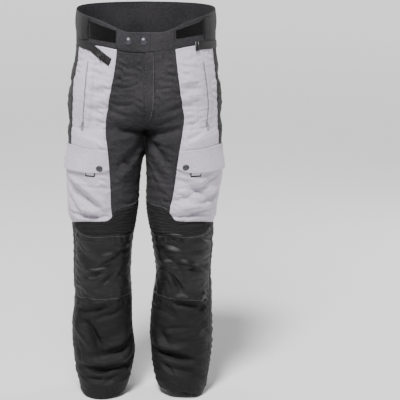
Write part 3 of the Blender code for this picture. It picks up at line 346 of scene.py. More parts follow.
# Folds of the worn cloth from end to end; a negative depth is a trough, and bow bends the fold
FOLDS = {
    RIGHT: [
        Fold(0.36, 294, 0.30, 266, 11, -4), Fold(0.42, 248, 0.20, 264, 10, -5, 4),
        Fold(0.42, 264, 0.22, 281, 12, 4, 3), Fold(0.30, 230, 0.12, 260, 9, -4, 4),
        Fold(0.39, 238, 0.24, 146, 14, -5, -6), Fold(0.43, 210, 0.29, 130, 14, 4, -5),
        Fold(0.26, 118, 0.06, 160, 12, -5, 5), Fold(0.25, 140, 0.08, 184, 14, 3.5, 6),
        Fold(0.38, 82, 0.09, 94, 10, -7, 6), Fold(0.40, 104, 0.08, 122, 13, 5, 7),
        Fold(0.36, 56, 0.12, 66, 10, -4, 5), Fold(0.38, 424, 0.20, 382, 14, -3.5, 6),
        Fold(0.31, 356, 0.15, 414, 13, -4, 8), Fold(0.30, 396, 0.12, 440, 13, 3, 5),
        Fold(0.26, 322, 0.17, 372, 9, -4, 3), Fold(0.20, 760, 0.04, 748, 12, -4, -5),
        Fold(0.17, 820, 0.06, 820, 12, -3, -4), Fold(0.06, 738, 0.20, 660, 14, -4, 6),
        Fold(0.09, 700, 0.20, 620, 14, 3, 5), Fold(0.27, 858, 0.17, 858, 11, -3, 3),
        Fold(0.28, 812, 0.17, 815, 11, -3, 3), Fold(0.45, 610, 0.27, 556, 13, -4, 6),
        Fold(0.41, 528, 0.23, 528, 9, -3, 3), Fold(0.62, 900, 0.42, 860, 18, -3, 5),
        Fold(0.60, 800, 0.43, 760, 18, -3, 5),
        Fold(0.275, 316, 0.147, 370, 6, 3.2, 4), Fold(0.343, 370, 0.173, 396, 6, 3.0, 13),
        Fold(0.348, 352, 0.238, 362, 6, -2.4, 5), Fold(0.430, 282, 0.300, 268, 6, -2.6, 3),
        Fold(0.333, 218, 0.263, 112, 8, -3.0, -9), Fold(0.352, 40, 0.205, 66, 7, 2.4, 5),
        Fold(0.370, 78, 0.205, 74, 7, 2.4, 6), Fold(0.203, 430, 0.080, 422, 6, -2.0, 3),
        Fold(0.307, 452, 0.215, 464, 5, 2.0, 2), Fold(0.140, 298, 0.203, 284, 6, 2.4, 2),
        Fold(0.417, 160, 0.378, 102, 7, -2.2, 3), Fold(0.17, 690, 0.10, 640, 9, -2.0, 3),
        Fold(0.02, 700, 0.10, 672, 8, -2.2, 3), Fold(0.01, 640, 0.10, 600, 9, -1.8, 4),
        Fold(0.34, 600, 0.26, 582, 7, -2.0, 3), Fold(0.36, 548, 0.27, 536, 7, 2.0, 3),
        Fold(0.24, 762, 0.19, 786, 7, -1.8, 2), Fold(0.27, 740, 0.20, 722, 8, -1.8, 3),
        Fold(0.40, 900, 0.33, 880, 8, -1.4, 3), Fold(0.41, 840, 0.34, 818, 8, -1.5, 3),
        Fold(0.24, 880, 0.18, 886, 7, 1.2, 2), Fold(0.25, 900, 0.19, 905, 7, -1.2, 2),
        Fold(0.215, 742, 0.02, 772, 6, -3.0, 3), Fold(0.21, 826, 0.09, 796, 7, -2.6, 3),
        Fold(0.20, 860, 0.10, 866, 6, -1.6, -3), Fold(0.18, 676, 0.09, 654, 6, -2.6, 3),
        Fold(0.44, 618, 0.235, 528, 10, -4.4, -7), Fold(0.41, 636, 0.245, 556, 9, 3.0, -6),
        Fold(0.46, 584, 0.34, 520, 9, -3.6, -4), Fold(0.42, 530, 0.235, 524, 5, -3.4, 4),
        Fold(0.33, 538, 0.25, 516, 5, -2.4, 3), Fold(0.30, 745, 0.21, 712, 9, -2.6, -4),
    ],
    LEFT: [
        Fold(0.17, 276, 0.38, 260, 10, -5, -5), Fold(0.18, 292, 0.38, 278, 12, 4, -4),
        Fold(0.12, 264, 0.22, 236, 9, -4, -4), Fold(0.28, 232, 0.38, 256, 10, -4, 4),
        Fold(0.12, 198, 0.20, 144, 12, -4, 5), Fold(0.30, 212, 0.40, 150, 14, 4, 5),
        Fold(0.07, 130, 0.32, 106, 10, -7, -5), Fold(0.08, 152, 0.30, 130, 13, 5, -5),
        Fold(0.15, 90, 0.39, 54, 11, -5, -6), Fold(0.13, 460, 0.28, 446, 10, -3, -5),
        Fold(0.13, 412, 0.26, 366, 12, -4, -6), Fold(0.25, 366, 0.40, 378, 13, -4, -6),
        Fold(0.16, 362, 0.24, 314, 10, -4, -5), Fold(0.04, 748, 0.20, 754, 12, -4, 5),
        Fold(0.06, 740, 0.18, 664, 13, -4, -6), Fold(0.09, 704, 0.20, 626, 13, 3, -5),
        Fold(0.17, 866, 0.27, 866, 11, -3, -3), Fold(0.17, 818, 0.28, 818, 11, -3, -3),
        Fold(0.22, 626, 0.38, 562, 13, -4, -6), Fold(0.22, 534, 0.40, 528, 9, -3, -4),
        Fold(0.44, 900, 0.60, 852, 18, -3, -5), Fold(0.44, 780, 0.62, 806, 18, -3, 5),
        Fold(0.150, 472, 0.275, 464, 5, 2.2, -3), Fold(0.140, 442, 0.235, 436, 6, -2.6, -3),
        Fold(0.128, 430, 0.258, 418, 6, 2.8, -5), Fold(0.125, 392, 0.375, 366, 6, 3.2, -16),
        Fold(0.138, 360, 0.205, 318, 6, 2.8, -4), Fold(0.165, 366, 0.268, 314, 6, 2.6, -5),
        Fold(0.320, 282, 0.380, 296, 6, 2.6, 3), Fold(0.022, 252, 0.212, 230, 8, -3.4, -7),
        Fold(0.295, 234, 0.393, 254, 7, 2.4, 4), Fold(0.143, 196, 0.302, 204, 7, -2.4, -4),
        Fold(0.200, 174, 0.393, 200, 9, 2.4, 6), Fold(0.113, 102, 0.212, 62, 7, -3.0, -5),
        Fold(0.275, 464, 0.532, 434, 7, -2.0, -4), Fold(0.278, 414, 0.378, 410, 7, 2.0, -3),
        Fold(0.02, 712, 0.10, 684, 8, -1.6, -3), Fold(0.03, 660, 0.12, 610, 9, -2.0, -4),
        Fold(0.10, 640, 0.19, 580, 9, 1.8, -4), Fold(0.27, 600, 0.36, 578, 7, -2.2, -3),
        Fold(0.25, 560, 0.35, 545, 7, 2.0, -3), Fold(0.19, 786, 0.25, 764, 7, -1.8, -2),
        Fold(0.20, 730, 0.29, 744, 8, -1.8, 3), Fold(0.33, 880, 0.41, 900, 8, -1.4, 3),
        Fold(0.34, 824, 0.42, 842, 8, -1.5, 3), Fold(0.18, 890, 0.25, 884, 7, 1.2, -2),
        Fold(0.04, 905, 0.08, 850, 5, -2.2, 3), Fold(0.045, 868, 0.08, 820, 5, -2.0, 3),
        Fold(0.02, 770, 0.12, 782, 6, -3.0, 3), Fold(0.10, 806, 0.21, 826, 7, -2.6, -3),
        Fold(0.09, 850, 0.20, 856, 6, -1.6, 3), Fold(0.12, 700, 0.20, 740, 7, -1.8, -4),
        Fold(0.20, 560, 0.40, 640, 10, -4.2, 7), Fold(0.22, 536, 0.42, 602, 9, 3.0, 6),
        Fold(0.20, 526, 0.40, 522, 5, -3.4, -4), Fold(0.26, 516, 0.36, 540, 5, -2.4, -3),
        Fold(0.30, 560, 0.44, 586, 9, -3.4, 4), Fold(0.20, 706, 0.30, 750, 9, -2.6, 4),
    ],
}
BACK_FOLDS = [
    Fold(0.98, 800, 0.74, 838, 14, -4, 6), Fold(0.97, 730, 0.72, 780, 16, -4, 7),
    Fold(0.95, 690, 0.70, 712, 14, 3, 5),
    Fold(0.94, 650, 0.70, 620, 14, -4, -5), Fold(0.96, 470, 0.66, 448, 12, -5, -6),
    Fold(0.92, 430, 0.62, 418, 12, -5, -5), Fold(0.93, 452, 0.66, 434, 12, 4, -5),
    Fold(0.90, 395, 0.64, 372, 12, -4, -5), Fold(0.52, 420, 0.66, 398, 12, -3, 4),
    Fold(0.50, 240, 0.74, 262, 12, -4, 5), Fold(0.94, 240, 0.72, 208, 12, -4, -5),
    Fold(0.50, 170, 0.72, 140, 13, -4, -5), Fold(0.92, 130, 0.66, 104, 12, -5, -5),
    Fold(0.94, 86, 0.52, 66, 11, -5, -6), Fold(0.72, 320, 0.93, 300, 13, -3, 4),
    Fold(0.76, 600, 0.50, 560, 12, -3, 5),
    Fold(0.88, 540, 0.72, 552, 8, -2.4, 3), Fold(0.80, 350, 0.62, 338, 7, 2.4, -3),
    Fold(0.58, 300, 0.74, 286, 7, -2.4, -3), Fold(0.82, 180, 0.64, 190, 7, 2.4, 3),
    Fold(0.60, 108, 0.80, 122, 7, -2.4, 3), Fold(0.56, 52, 0.84, 44, 7, 2.2, -3),
    Fold(0.90, 760, 0.80, 742, 8, -2.2, 3), Fold(0.86, 880, 0.74, 868, 9, -2.0, 3),
]
# Turns and heights between which many small level creases lie, and how far apart they are
SMALL_CREASES = {
    RIGHT: [CreaseRow(0.195, 0.275, 780, 950, 21), CreaseRow(0.045, 0.15, 800, 940, 26),
            CreaseRow(0.24, 0.40, 505, 625, 24), CreaseRow(0.34, 0.47, 720, 960, 30),
            CreaseRow(0.06, 0.19, 560, 720, 27)],
    LEFT: [CreaseRow(0.19, 0.27, 780, 950, 20), CreaseRow(0.06, 0.15, 790, 940, 25),
           CreaseRow(0.24, 0.40, 505, 625, 26), CreaseRow(0.34, 0.47, 720, 960, 31),
           CreaseRow(0.06, 0.19, 560, 720, 25)],
}
END_STRAY = 0.03            # how far a small crease's ends stray, in turns
TILT_STRAY = 12.0           # and its slope and height, in millimetres
HEIGHT_STRAY = 8.0
CREASE_WIDTHS = (4, 6.5)
CREASE_DEPTHS = (-1.6, -0.7)
CREASE_BOWS = (-4, 4)
for side in (RIGHT, LEFT):
    draw = np.random.default_rng(3 + side)
    for row in SMALL_CREASES[side]:
        for height in np.arange(row.low, row.high, row.spacing):
            start = row.first + END_STRAY * draw.uniform(-1, 1)
            end = row.last + END_STRAY * draw.uniform(-1, 1)
            tilt, shift = TILT_STRAY * draw.uniform(-1, 1), HEIGHT_STRAY * draw.uniform(-1, 1)
            FOLDS[side].append(Fold(start, height + shift, end, height + shift + tilt,
                                    draw.uniform(*CREASE_WIDTHS), draw.uniform(*CREASE_DEPTHS),
                                    draw.uniform(*CREASE_BOWS)))
FOLD_SEAM_FADE = 30.0       # folds start this far from the inseam and the centre seams
FOLD_REACH = 0.6            # a fold dies away at this share of its length from its middle
SHOULDER_PLACE = 1.75       # soft shoulders beside a fold, in fold widths
SHOULDER_WIDTH = 0.8
SHOULDER_SHARE = 0.32
FOLD_CRISP = 1.2            # 2 is a round fold, 1 a sharp crease
FOLD_GAIN = 2.0
WANDER = 2.6                # how far a fold strays from its line, in millimetres
WANDER_WAVE = 70.0
RIPPLE_TERMS = 6


def ripple(u, v, wave, seed):
    """Smooth uneven hills of about one wavelength, from -1 to 1."""
    draw = np.random.default_rng(seed)
    total = 0.0
    lows, highs = (0, 0.7, 0), (math.pi, 1.5, 2 * math.pi)
    for way, stretch, phase in draw.uniform(lows, highs, (RIPPLE_TERMS, 3)):
        run = u * math.cos(way) + v * math.sin(way)
        total = total + np.sin(2 * math.pi * stretch / wave * run + phase)
    return total / RIPPLE_TERMS


# The flap holds the cloth under it smooth, between these heights and turns
HELD_LOW, HELD_LOW_FADE = 620.0, 22
HELD_HIGH, HELD_HIGH_FADE = 745.0, 30
HELD_FRONT, HELD_FRONT_FADE = 0.19, 0.04
HELD_BACK, HELD_BACK_FADE = 0.70, 0.05
# The hip's outer seam lies straight from this height up, so the cloth beside it has lower folds
CALM_LOW, CALM_LOW_FADE = 690.0, 40
CALM_TURN, CALM_WIDTH = 0.37, 0.05
CALM_SHARE = 0.6


def flap_cover(turn, height):
    """1 under the pocket flap and 0 away from it."""
    up = soft_step((height - HELD_LOW) / HELD_LOW_FADE)
    up = up * soft_step((HELD_HIGH - height) / HELD_HIGH_FADE)
    return (up * soft_step((turn - HELD_FRONT) / HELD_FRONT_FADE)
            * soft_step((HELD_BACK - turn) / HELD_BACK_FADE))


def side_calm(turn, height):
    """Less than 1 beside the hip's outer seam."""
    near = np.exp(-((turn - CALM_TURN) / CALM_WIDTH) ** 2)
    return 1 - CALM_SHARE * soft_step((height - CALM_LOW) / CALM_LOW_FADE) * near


def fold_relief(side, turn, height):
    """All folds at these places, fading out towards the inseam and the centre seams."""
    girth = around(side, height)
    edge = soft_step(np.minimum(turn, 1 - turn) * girth / FOLD_SEAM_FADE)
    stray = WANDER * ripple(turn * girth, height, WANDER_WAVE, seed=11 + side)
    total = np.zeros(np.shape(turn))
    for fold in FOLDS[side] + BACK_FOLDS:
        run_u = (fold.turn_b - fold.turn_a) * girth
        run_v = fold.height_b - fold.height_a
        u, v = (turn - fold.turn_a) * girth, height - fold.height_a
        length = np.hypot(run_u, run_v)
        share = (u * run_u + v * run_v) / length**2
        fade = np.clip(1 - ((share - 0.5) / FOLD_REACH) ** 2, 0, 1)
        bend = fold.bow * (1 - (2 * share - 1) ** 2) * fade
        away = ((v * run_u - u * run_v) / length * np.sign(run_u) + bend + stray) / fold.width
        shape = np.exp(-np.abs(away) ** FOLD_CRISP)
        beside_it = (np.abs(away) - SHOULDER_PLACE) / SHOULDER_WIDTH
        shape = shape - SHOULDER_SHARE * np.exp(-beside_it ** 2)
        total += FOLD_GAIN * fold.depth * fade * shape
    return total * edge * (1 - flap_cover(turn, height)) * side_calm(turn, height)


POCKET_BULGE = 7.0          # how far the thigh pocket stands out, and how wide its rounded edge is
POCKET_EDGE = 28.0
POCKET_BULGE_TOP = 708.0    # it dies away up to this height, over this distance
POCKET_BULGE_FALL = 62.0
POCKET_BACK = upright([SeamRow(460, 104, 102), SeamRow(700, 108, 108)], "back")


def pocket_relief(side, turn, height):
    """Swelling of the bellows pocket on the outer thigh."""
    girth = around(side, height)
    edges = soft_step((turn - INNER_GREY(side, height)) * girth / POCKET_EDGE)
    edges = edges * soft_step((POCKET_BACK(side, height) - turn) * girth / POCKET_EDGE)
    rise = soft_step((height - THIGH(side, turn)) / POCKET_EDGE)
    return POCKET_BULGE * edges * rise * soft_step((POCKET_BULGE_TOP - height) / POCKET_BULGE_FALL)


CRUMPLE = [DepthRow(0, 2.2), DepthRow(300, 2.3), DepthRow(455, 2.0), DepthRow(500, 1.7),
           DepthRow(700, 2.0), DepthRow(800, 1.8), DepthRow(940, 1.4), DepthRow(975, 0.4),
           DepthRow(1000, 0.2), DepthRow(1090, 0.1)]
CREASE_LINE = 0.10          # narrowness of the creases
CREASE_SLANT = 0.45         # below 1 they run across the leg
LARGE_WAVE, SMALL_WAVE = 52.0, 27.0
PATCH_WAVE = 150.0          # size of the places with large creases, between those with small ones
SWELL_WAVE = 38.0           # and of the soft swelling of the cloth
PATCH_SHARE, SMALL_SHARE, SWELL_SHARE = 0.9, 0.5, 0.6
HELD_SHARE = 0.85           # how much of it the flap presses out


def crumple(side, turn, height):
    """A net of small creases that run across the leg, strongest on the lower legs."""
    rows = np.array(CRUMPLE)
    u = turn * around(side, height) * CREASE_SLANT
    deep = np.interp(height, rows[:, 0], rows[:, 1])
    large = np.exp(-(ripple(u, height, LARGE_WAVE, seed=21 + side) / CREASE_LINE) ** 2)
    small = np.exp(-(ripple(u, height, SMALL_WAVE, seed=31 + side) / CREASE_LINE) ** 2)
    where = 0.5 + PATCH_SHARE * ripple(u, height, PATCH_WAVE, seed=41 + side)
    swell = ripple(u, height, SWELL_WAVE, seed=51 + side)
    deep = deep * soft_step(np.minimum(turn, 1 - turn) * around(side, height) / FOLD_SEAM_FADE)
    calm = (1 - HELD_SHARE * flap_cover(turn, height)) * side_calm(turn, height)
    return deep * (large * where + SMALL_SHARE * small * (1 - where) + SWELL_SHARE * swell) * calm


CENTRE_DRAW = 3.0           # the centre seams draw the two sides together over this distance
THIGH_DRAW = 14.0           # and the inner thighs touch below the crotch, down to this height
THIGHS_MEET = 662.0
MEET_FADE = 12


def cloth(side, turn, height, out=0.0):
    """Points of the worn cloth's outer face, moved out by a distance."""
    turn, height = np.broadcast_arrays(np.asarray(turn, float), np.asarray(height, float))
    point, normal = read_form(side, turn, height)
    lift = fold_relief(side, turn, height) + pocket_relief(side, turn, height)
    lift = lift + crumple(side, turn, height) + out
    point = point + normal * lift[..., None]
    edge = np.minimum(turn, 1 - turn) * around(side, height)
    reach = np.where(height > CROTCH_HEIGHT, CENTRE_DRAW, THIGH_DRAW)
    drawn = soft_step(1 - edge / reach) * soft_step((height - THIGHS_MEET) / MEET_FADE)
    point[..., 0] = side * np.maximum(side * point[..., 0] * (1 - drawn), CENTRE_GAP / 2)
    return point


def in_metres(points):
    return (np.asarray(points) - (0, 0, WAIST_HEIGHT)) * MM


EDGE_MARKS = (0.0, 0.7, 1.7, 3.2)       # rows close to an edge, where the cloth rolls under
ROLL_DEPTH = 1.0
ROLL_WIDTH = 1.9
CLOTH_THICK = 1.7
PANEL_CELL = 2.8            # distance between a panel's points
MIDDLE_HEIGHT = 500.0       # a panel's upright seams are first read here
SEAM_ROUNDS = 8             # its places and its seams are then settled in this many rounds


def spaced(length, cell):
    """Shares along a length, close together at both ends."""
    ends = [mark for mark in EDGE_MARKS if mark < length / 4]
    count = max(int(round((length - 2 * ends[-1]) / cell)), 1)
    marks = ends[:-1] + list(np.linspace(ends[-1], length - ends[-1], count + 1))
    marks += [length - mark for mark in reversed(ends[:-1])]
    return np.array(marks) / length


def patch(side, first, last, low, high, cell=PANEL_CELL, gap=SEAM_GAP, open_ends=(False, False)):
    """Turns and heights of a panel between two upright and two level seams."""
    middle = 0.5 * (float(first(side, MIDDLE_HEIGHT)) + float(last(side, MIDDLE_HEIGHT)))
    bottom, top = float(low(side, middle)), float(high(side, middle))
    half = np.array(0.5 * (bottom + top))
    wide = float((last(side, half) - first(side, half)) * around(side, half))
    across, up = spaced(abs(wide), cell), spaced(top - bottom, cell)[:, None]
    turn = np.full((len(up), len(across)), middle)
    for _ in range(SEAM_ROUNDS):
        bottom, top = low(side, turn) + gap / 2, high(side, turn) - gap / 2
        height = bottom + (top - bottom) * up
        inset = gap / 2 / around(side, height) * np.sign(wide)
        start = first(side, height) + (0 if open_ends[0] else inset)
        end = last(side, height) - (0 if open_ends[1] else inset)
        turn = start + (end - start) * across
    return side, turn, height


def add_piece(name, verts, faces, uvs, finish):
    """A mesh object with its finish, smooth shaded; uvs are metres along the cloth, a pair per point."""
    mesh = bpy.data.meshes.new(name)
    mesh.from_pydata(verts.tolist(), [], faces)
    if uvs is not None:
        layer = mesh.uv_layers.new(name="cloth")
        corner = np.zeros(len(mesh.loops), int)
        mesh.loops.foreach_get("vertex_index", corner)
        layer.data.foreach_set("uv", np.asarray(uvs, float)[corner].astype(np.float32).ravel())
    mesh.materials.append(finish)
    mesh.shade_smooth()
    piece = bpy.data.objects.new(name, mesh)
    bpy.context.scene.collection.objects.link(piece)
    return piece


def sheet_faces(rows, columns, start=0, flip=False):
    """Faces of one grid of points."""
    index = start + np.arange(rows * columns).reshape(rows, columns)
    a, b, c, d = index[:-1, :-1], index[:-1, 1:], index[1:, 1:], index[1:, :-1]
    order = (a, d, c, b) if flip else (a, b, c, d)
    return np.stack([part.ravel() for part in order], axis=1)


def rim_faces(rows, columns, flip=False):
    """Faces that join the edges of an outer grid to those of the inner grid after it."""
    index = np.arange(rows * columns).reshape(rows, columns)
    ring = np.concatenate([index[0, :-1], index[:-1, -1], index[-1, :0:-1], index[:0:-1, 0]])
    after, under = np.roll(ring, -1), rows * columns
    order = (ring, ring + under, after + under, after)
    if flip:
        order = (ring, after, after + under, ring + under)
    return np.stack(order, axis=1)


def cloth_piece(name, halves, finish, out=0.0, thick=CLOTH_THICK, relief=None, centre=0,
                roll=ROLL_DEPTH, lift=0.0):
    """A closed cloth wall over one patch, or over two that meet at the centre front or back.

    Its outer face stands out by a distance and has its own relief; a lift moves both faces.
    """
    outer, inner, uvs, sizes = [], [], [], []
    for side, turn, height in halves:
        u = side * np.abs(turn - centre) * around(side, height)
        uvs.append(np.stack([u, height], axis=2))
    uvs = np.concatenate(uvs, axis=1)
    u, v = uvs[..., 0], uvs[..., 1]
    aside = np.minimum(np.abs(u - u[:, :1]), np.abs(u - u[:, -1:]))
    above = np.minimum(np.abs(v - v[:1]), np.abs(v - v[-1:]))
    away = np.minimum(aside, above)
    raised = out - roll * np.exp(-(away / ROLL_WIDTH) ** 2)
    if relief is not None:
        raised = raised + relief(u, v, aside, above)
    start = 0
    for side, turn, height in halves:
        part = slice(start, start + turn.shape[1])
        start += turn.shape[1]
        rise = lift(side, turn, height) if callable(lift) else lift
        outer.append(cloth(side, turn, height, raised[:, part] + rise))
        inner.append(cloth(side, turn, height, out - thick + rise))
        sizes.append(cloth_size(side, turn, height))
    outer, inner = np.concatenate(outer, axis=1), np.concatenate(inner, axis=1)
    rows, columns = u.shape
    side, turn, height = halves[0]
    spin = (turn[0, -1] - turn[0, 0]) * (height[-1, 0] - height[0, 0])
    spin -= (turn[-1, 0] - turn[0, 0]) * (height[0, -1] - height[0, 0])
    flip = side * spin < 0
    faces = np.concatenate([sheet_faces(rows, columns, 0, flip),
                            sheet_faces(rows, columns, rows * columns, not flip),
                            rim_faces(rows, columns, flip)])
    verts = in_metres(np.concatenate([outer.reshape(-1, 3), inner.reshape(-1, 3)]))
    flat = np.concatenate([uvs.reshape(-1, 2)] * 2) * MM
    piece = add_piece(name, verts, faces.tolist(), flat, finish)
    piece["flat"] = [sum(s[0] for s in sizes), max(s[1] for s in sizes), sum(s[2] for s in sizes)]
    return piece


def cloth_size(side, turn, height):
    """Width, length and area of a patch laid flat, in metres."""
    point = read_form(side, turn, height)[0] * MM
    across = np.linalg.norm(np.diff(point, axis=1), axis=2)
    along = np.linalg.norm(np.diff(point, axis=0), axis=2)
    cells = 0.25 * (across[:-1] + across[1:]) * (along[:, :-1] + along[:, 1:])
    return across.sum(1).max(), along.sum(0).max(), cells.sum()


AREA_MOST, AREA_LEAST = 0.99, 0.32      # shares of width times length that a cut's area lies within


def sew(piece, body_node, gathered=1.0):
    """Attaches the piece to the trousers and hides the solid that it stands for; the flat cut's sizes
    are worked out but not kept.
    """
    width, length, area = piece["flat"]
    del piece["flat"]
    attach(piece, "trousers")
    if body_node:
        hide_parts(body_node)
    length *= gathered
    area = min(area * gathered, AREA_MOST * width * length)


BAND_SCALE = 2 * math.pi / 20       # a wave texture's scale for one band a metre
SLUB_SCALE, SLUB_DETAIL = 160.0, 3.0        # uneven yarn, in spots of about 6 mm
CLOUD_SCALE, CLOUD_DETAIL = 9.0, 4.0        # uneven dye, in clouds of about 110 mm
TONE_GAIN, TONE_SHIFT = 1.5, -1.2
THREAD_PAINTED_LIGHT = 0.45          # how much lighter the crests of the threads are drawn: painted light, with painted shade in the hollows between them
ROUGH_SPREAD = 0.07
THREAD_RELIEF = 0.3 * MM


def woven(name, colour, shade, roughness, spacing, bump, sheen, gloss=0.2):
    """Plain-woven cloth: crossing threads in its bump, with a slight unevenness of dye, and with painted
    light on the crests of the threads and painted shade between them.

    The spacing is in millimetres. Real threads of such cloth lie 0.4 to 0.8 mm apart, too fine
    to show, so every cloth here is drawn coarser.
    """
    material = bpy.data.materials.new(name)
    material.use_nodes = True
    tree = material.node_tree
    shader = tree.nodes["Principled BSDF"]
    place = node(tree, "ShaderNodeUVMap", uv_map="cloth")["UV"]
    scale = BAND_SCALE / (spacing * MM)
    warp, weft = (node(tree, "ShaderNodeTexWave", {"Vector": place, "Scale": scale},
                       bands_direction=way)["Fac"] for way in "XY")
    over = node(tree, "ShaderNodeTexChecker", {"Vector": place, "Scale": 1 / (spacing * MM)})["Fac"]
    threads = node(tree, "ShaderNodeMix", {"Factor": over, "A": warp, "B": weft})["Result"]
    slub, cloud = (node(tree, "ShaderNodeTexNoise",
                        {"Vector": place, "Scale": size, "Detail": detail})["Fac"]
                   for size, detail in ((SLUB_SCALE, SLUB_DETAIL), (CLOUD_SCALE, CLOUD_DETAIL)))
    tone = node(tree, "ShaderNodeMath", {0: slub, 1: cloud}, operation="ADD")["Value"]
    tone = node(tree, "ShaderNodeMath", {0: tone, 1: TONE_GAIN, 2: TONE_SHIFT},
                operation="MULTIPLY_ADD")["Value"]
    tone = node(tree, "ShaderNodeMath", {0: threads, 1: THREAD_PAINTED_LIGHT, 2: tone},
                operation="MULTIPLY_ADD")["Value"]
    # The dark end serves the uneven dye and the painted shade between the threads; the light end serves
    # the painted light on their crests.
    ramp = tree.nodes.new("ShaderNodeValToRGB")
    ramp.color_ramp.elements[0].color = linear(shade)
    ramp.color_ramp.elements[1].color = linear(colour)
    tree.links.new(tone, ramp.inputs["Fac"])
    tree.links.new(ramp.outputs["Color"], shader.inputs["Base Color"])
    rough = node(tree, "ShaderNodeMapRange", {"Value": slub, "To Min": roughness - ROUGH_SPREAD,
                                              "To Max": roughness + ROUGH_SPREAD})
    tree.links.new(rough["Result"], shader.inputs["Roughness"])
    lifted = node(tree, "ShaderNodeBump", {"Height": threads, "Strength": bump,
                                           "Distance": THREAD_RELIEF})["Normal"]
    tree.links.new(lifted, shader.inputs["Normal"])
    shader.inputs["IOR"].default_value = 1.5
    shader.inputs["Sheen Weight"].default_value = sheen
    shader.inputs["Sheen Roughness"].default_value = 0.4
    shader.inputs["Specular IOR Level"].default_value = gloss
    return material


# Black plain-woven polyamide: matt, with a faint thread grain, drawn at 2.2 mm
black_polyamide = woven("black_polyamide_plain_weave", "353336", "1C1B1C", 0.75, 2.2, 0.5, 0.03)
PUCKER_WAVE = 19.0
PUCKER_DEPTH = 1.7
PUCKER_PLACE = 16.0         # clear of the stitches
PUCKER_REACH = 10.0
PUCKER_STRAY, STRAY_WAVE = 2.4, 60.0            # radians that the gathers stray by
PUCKER_EVEN, PUCKER_UNEVEN, UNEVEN_WAVE = 0.6, 1.4, 90.0
UPRIGHT_SLANT, LEVEL_SLANT = 0.35, 0.2          # how far gathers lean, beside each kind of seam
LEVEL_SHARE = 0.6           # they are lower beside the level seams


def puckered(u, v, aside, above):
    """Small gathers that run out from the sewn edges, where the thread draws the cloth in."""
    stray = PUCKER_STRAY * ripple(u, v, STRAY_WAVE, seed=5)
    edges = []
    for run, away in ((v + UPRIGHT_SLANT * u, aside), (u + LEVEL_SLANT * v, above)):
        near = np.exp(-((away - PUCKER_PLACE) / PUCKER_REACH) ** 2)
        edges.append(np.sin(2 * math.pi * run / PUCKER_WAVE + stray) * near)
    uneven = PUCKER_EVEN + PUCKER_UNEVEN * ripple(u, v, UNEVEN_WAVE, seed=6)
    return PUCKER_DEPTH * uneven * (edges[0] + LEVEL_SHARE * edges[1])


for side in (RIGHT, LEFT):
    cut = [patch(side, FRONT_EDGE, INNER_GREY, THIGH, WAIST_SEAM, open_ends=(True, False))]
    panel = cloth_piece("centre_front_" + TAG[side], cut, black_polyamide, relief=puckered)
    sew(panel, "front_inner_" + TAG[side])


# Grey hip panels
# Light grey polyamide panels that hold the hand pockets, between the centre front and the side.
# The cloth is dyed, plain-woven and slightly napped, so it is matt and shows soft cross creases.
# Its weave is drawn at 1.6 mm.
grey_polyamide = woven("grey_polyamide_plain_weave", "CDC6D2", "AFA7B6", 0.8, 1.6, 0.35, 0.06)
GREY_MESH = upright([SeamRow(668, -62, -62), SeamRow(760, -58, -58), SeamRow(880, -52, -52),
                     SeamRow(1000, -46, -46)], "side")
POCKET_SEAM = level(668.0)
BAG_SEAM = 759.0            # height of the seam that closes the pocket's bag
BAG_GROOVE, BAG_WIDTH = 1.6, 2.2


def pocket_bag(u, v, aside, above):
    """Gathers of the hip panel, with the groove of the bag's seam."""
    groove = BAG_GROOVE * np.exp(-((v - BAG_SEAM) / BAG_WIDTH) ** 2)
    return puckered(u, v, aside, above) - groove


for side in (RIGHT, LEFT):
    cut = [patch(side, INNER_GREY, GREY_MESH, POCKET_SEAM, WAIST_SEAM)]
    panel = cloth_piece("grey_hip_" + TAG[side], cut, grey_polyamide, relief=pocket_bag)
    sew(panel, "front_grey_" + TAG[side])


# Hand pockets
# A slanted zip pocket in each grey panel: a welt of the same cloth is sewn down beside a grey
# coil zip, closed, with its slider at the lower end. The metal slider and pull are the solids.
STRAP_GAP = 1.0             # what is sewn on lies this far out from the panel
WELT_INNER = upright([SeamRow(764, 147, 143), SeamRow(918, 131, 133), SeamRow(940, 128, 131)], "front")
WELT_EDGE = [SeamRow(764, 157, 155), SeamRow(800, 156, 159), SeamRow(824, 154, 160),
             SeamRow(890, 148, 153), SeamRow(940, 142, 145)]
WELT_LOW, WELT_HIGH = 765.0, 937.0
WELT_PAST = 4.0             # how far the welt's edge lies past its seam
WELT_OUT, WELT_THICK = STRAP_GAP + 1.2, 2.0
LIP_START, LIP_END = 5.4, 15.0      # the facing lip's edges, past the same seam
LIP_OUT, LIP_THICK = STRAP_GAP + 1.0, 1.8
TRIM_CELL = 1.8
ZIP_GAP = 1.0
ZIP_WIDTH = 7.0
TAPE_UNDER = 0.8            # the tape reaches this far under the welt
TAPE_OUT, TAPE_THICK = STRAP_GAP + 0.4, 1.0
TAPE_CELL = 1.4
TEETH_OUT = STRAP_GAP + 0.7
TEETH_ENDS = 4.0            # the teeth stop this far short of the tape's ends
TOOTH_PITCH = 1.6
TOOTH_SIZE = (2.9, 1.1, 0.55)      # across the zip, along it, and out of the tape
TOOTH_SHIFT = 0.9                   # each row of teeth lies this far from the zip's middle


def beside(rows, distance):
    """A seam's table moved outwards by a distance."""
    return [row._replace(right=row.right + distance, left=row.left + distance) for row in rows]


GRAIN_SUNK = 0.4            # a bead reaches this share of its height into the cloth


def grains(name, places, sizes, finish):
    """Many small pointed beads in one mesh; places are points, directions along and directions out."""
    point, along, out = places
    long, wide, high = sizes
    cross = np.cross(out, along)
    corners = np.stack([point + along * long / 2, point - along * long / 2,
                        point + cross * wide / 2, point - cross * wide / 2,
                        point + out * high, point - out * high * GRAIN_SUNK], axis=1)
    pattern = np.array([(0, 4, 2), (0, 3, 4), (0, 2, 5), (0, 5, 3),
                        (1, 2, 4), (1, 4, 3), (1, 5, 2), (1, 3, 5)])
    faces = pattern + corners.shape[1] * np.arange(len(point))[:, None, None]
    faces = faces.reshape(-1, 3)
    piece = add_piece(name, in_metres(corners.reshape(-1, 3)), faces.tolist(), None, finish)
    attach(piece, "trousers")
    return piece


